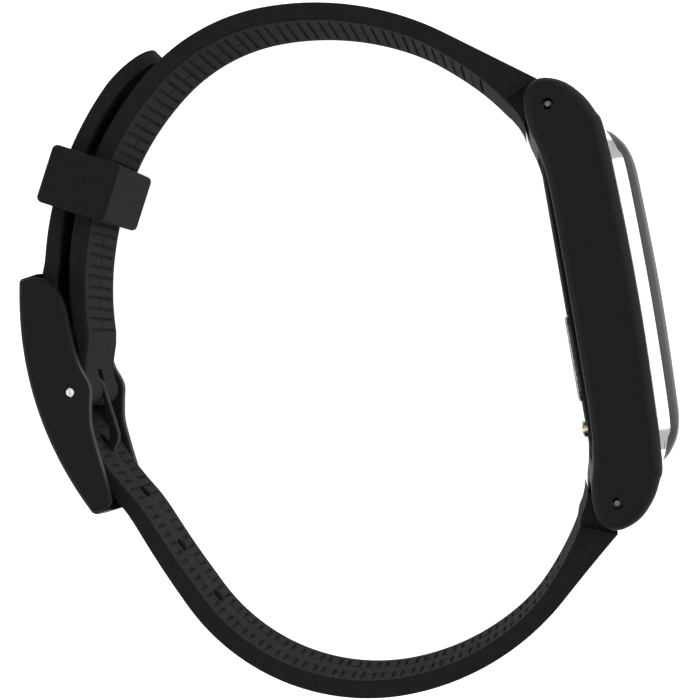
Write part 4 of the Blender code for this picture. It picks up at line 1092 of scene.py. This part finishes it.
def bar_tips(finishes):
    head = head_end()
    end = HALF_WIDTH - TIP_RECESS
    dome = 0.12
    profile = [(TIP_HEAD_RADIUS, head - TIP_HEAD_LENGTH), (TIP_HEAD_RADIUS, head), (TIP_PIN_RADIUS, head),
               (TIP_PIN_RADIUS, end - dome)]
    profile += [(TIP_PIN_RADIUS - dome * (1 - math.cos(a)), end - dome * (1 - math.sin(a)))
                for a in (0.4, 0.8, 1.2, math.pi / 2)]
    for bar, y in (("upper", HALF_BARS), ("lower", -HALF_BARS)):
        for side, place in ((1, "near"), (-1, "far")):
            turned_profile = [(radius, side * height) for radius, height in profile]
            tip = turned(f"{bar}_tip_{place}", turned_profile, (0.0, y))
            dressed(tip, finishes["bar_steel"], f"{bar}_tip_{place}", [f"{bar}_bar_tip_{place}"])


def coil(name, centre, height):
    """Half of a spring bar's coil, from the bar's middle to a height."""
    steps = COIL_TURNS * COIL_SIDES
    radius = TUBE_BORE - COIL_WIRE - FACE_GAP
    layers = []
    for i in range(steps + 1):
        turn = 2 * math.pi * COIL_TURNS * i / steps
        out = Vector((math.cos(turn), math.sin(turn), 0.0))
        at = Vector((*centre, MIDDLE + height * i / steps)) + out * radius
        layers.append([tuple(at + out * x + Vector((0, 0, y))) for x, y in circle((0.0, 0.0), COIL_WIRE, 6)])
    return ring_body(name, layers)


def bar_springs(finishes):
    half = head_end() - TIP_HEAD_LENGTH - COIL_WIRE - FACE_GAP
    for bar, y in (("upper", HALF_BARS), ("lower", -HALF_BARS)):
        for side, place in ((1, "near"), (-1, "far")):
            spring = coil(f"{bar}_spring_{place}", (0.0, y), side * half)
            dressed(spring, finishes["steel"], "cradle", [f"{bar}_bar_spring"])
            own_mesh(spring)


# CAD nodes that stay


def finish_frame(finishes):
    """Gives each CAD node that stays its material."""
    slots = {"vibration_motor": "steel", "module_housing": "matte_plastic", "module_seal": "black_rubber",
             "display_panel": "dark_glass", "motion_sensor": "coated_steel", "photodiode": "coated_steel",
             "main_board": "circuit_board", "sensor_board": "circuit_board",
             "processor_shield": "tinned_metal",
             "battery": "battery_foil", "display_flex": "flex_film", "sensor_flex": "flex_film",
             "sensor_led_upper": "led_lens", "sensor_led_lower": "led_lens",
             "upper_bar_tube": "bar_steel", "lower_bar_tube": "bar_steel"}
    for node, slot in slots.items():
        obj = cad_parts[node]
        for place in obj.material_slots:
            place.material = finishes[slot]


# Floor, lights and camera


def stage():
    bm = bmesh.new()
    half = FLOOR_SIZE / 2 * MM
    plan = ((-half, -half), (half, -half), (half, half), (-half, half))
    corners = [bm.verts.new((x, y, -FLOOR_DROP * MM)) for x, y in plan]
    bm.faces.new(corners)
    floor = new_object("floor", mesh_from("floor", bm))
    paper = Finish("white paper sweep", (0.9, 0.9, 0.9), 0.9, Specular_IOR_Level=0.1)
    paper.mottle(30.0, (0.885, 0.885, 0.885), (0.915, 0.915, 0.915))
    paper.shader.inputs["Emission Color"].default_value = (1.0, 1.0, 1.0, 1.0)
    paper.shader.inputs["Emission Strength"].default_value = 0.75
    floor.data.materials.append(paper.material)


def soft_light(name, place, target, size, power):
    data = bpy.data.lights.new(name, "AREA")
    data.shape = "RECTANGLE"
    data.size, data.size_y = size[0] * MM, size[1] * MM
    data.energy = power
    light = bpy.data.objects.new(name, data)
    bpy.context.scene.collection.objects.link(light)
    light.location = Vector(place) * MM
    light.rotation_euler = (Vector(target) - Vector(place)).to_track_quat("-Z", "Y").to_euler()


def lights():
    middle = (-25.0, 0.0, MIDDLE)
    soft_light("overhead", (-25.0, 0.0, 620.0), middle, (520.0, 520.0), 0.75)
    soft_light("right", (520.0, 120.0, 260.0), middle, (420.0, 420.0), 2.2)
    soft_light("left", (-560.0, -60.0, 240.0), middle, (420.0, 420.0), 2.2)
    world = bpy.data.worlds.new("studio")
    world.use_nodes = True
    world.node_tree.nodes["Background"].inputs["Color"].default_value = (1.0, 1.0, 1.0, 1.0)
    world.node_tree.nodes["Background"].inputs["Strength"].default_value = 0.5
    bpy.context.scene.world = world
    bpy.context.scene.view_settings.view_transform = "Standard"


def camera():
    data = bpy.data.cameras.new("camera")
    data.lens = CAMERA_LENS
    data.sensor_width = 36.0
    data.clip_start, data.clip_end = 0.01, 20.0
    made = bpy.data.objects.new("camera", data)
    bpy.context.scene.collection.objects.link(made)
    right, up = Vector(CAMERA_RIGHT).normalized(), Vector(CAMERA_UP).normalized()
    back = right.cross(up).normalized()
    up = back.cross(right)
    turn = Matrix((right, up, back)).transposed().to_4x4()
    made.matrix_world = Matrix.Translation(Vector(CAMERA_PLACE) * MM) @ turn
    bpy.context.scene.camera = made


def main():
    finishes = make_finishes()
    upper = upper_route()
    buckle = BuckleFrame(upper)
    lower = lower_route(upper, buckle)
    cradle(finishes)
    bezel(finishes)
    display_glass(finishes)
    sensor_glass(finishes)
    contacts(finishes)
    upper_strap(upper, buckle, finishes)
    lower_strap(lower, buckle, finishes)
    keeper(upper, finishes)
    buckle_frame(buckle, finishes)
    buckle_pin(buckle, finishes)
    tongue(buckle, finishes)
    bar_tips(finishes)
    bar_springs(finishes)
    finish_frame(finishes)
    stage()
    lights()
    camera()


main()
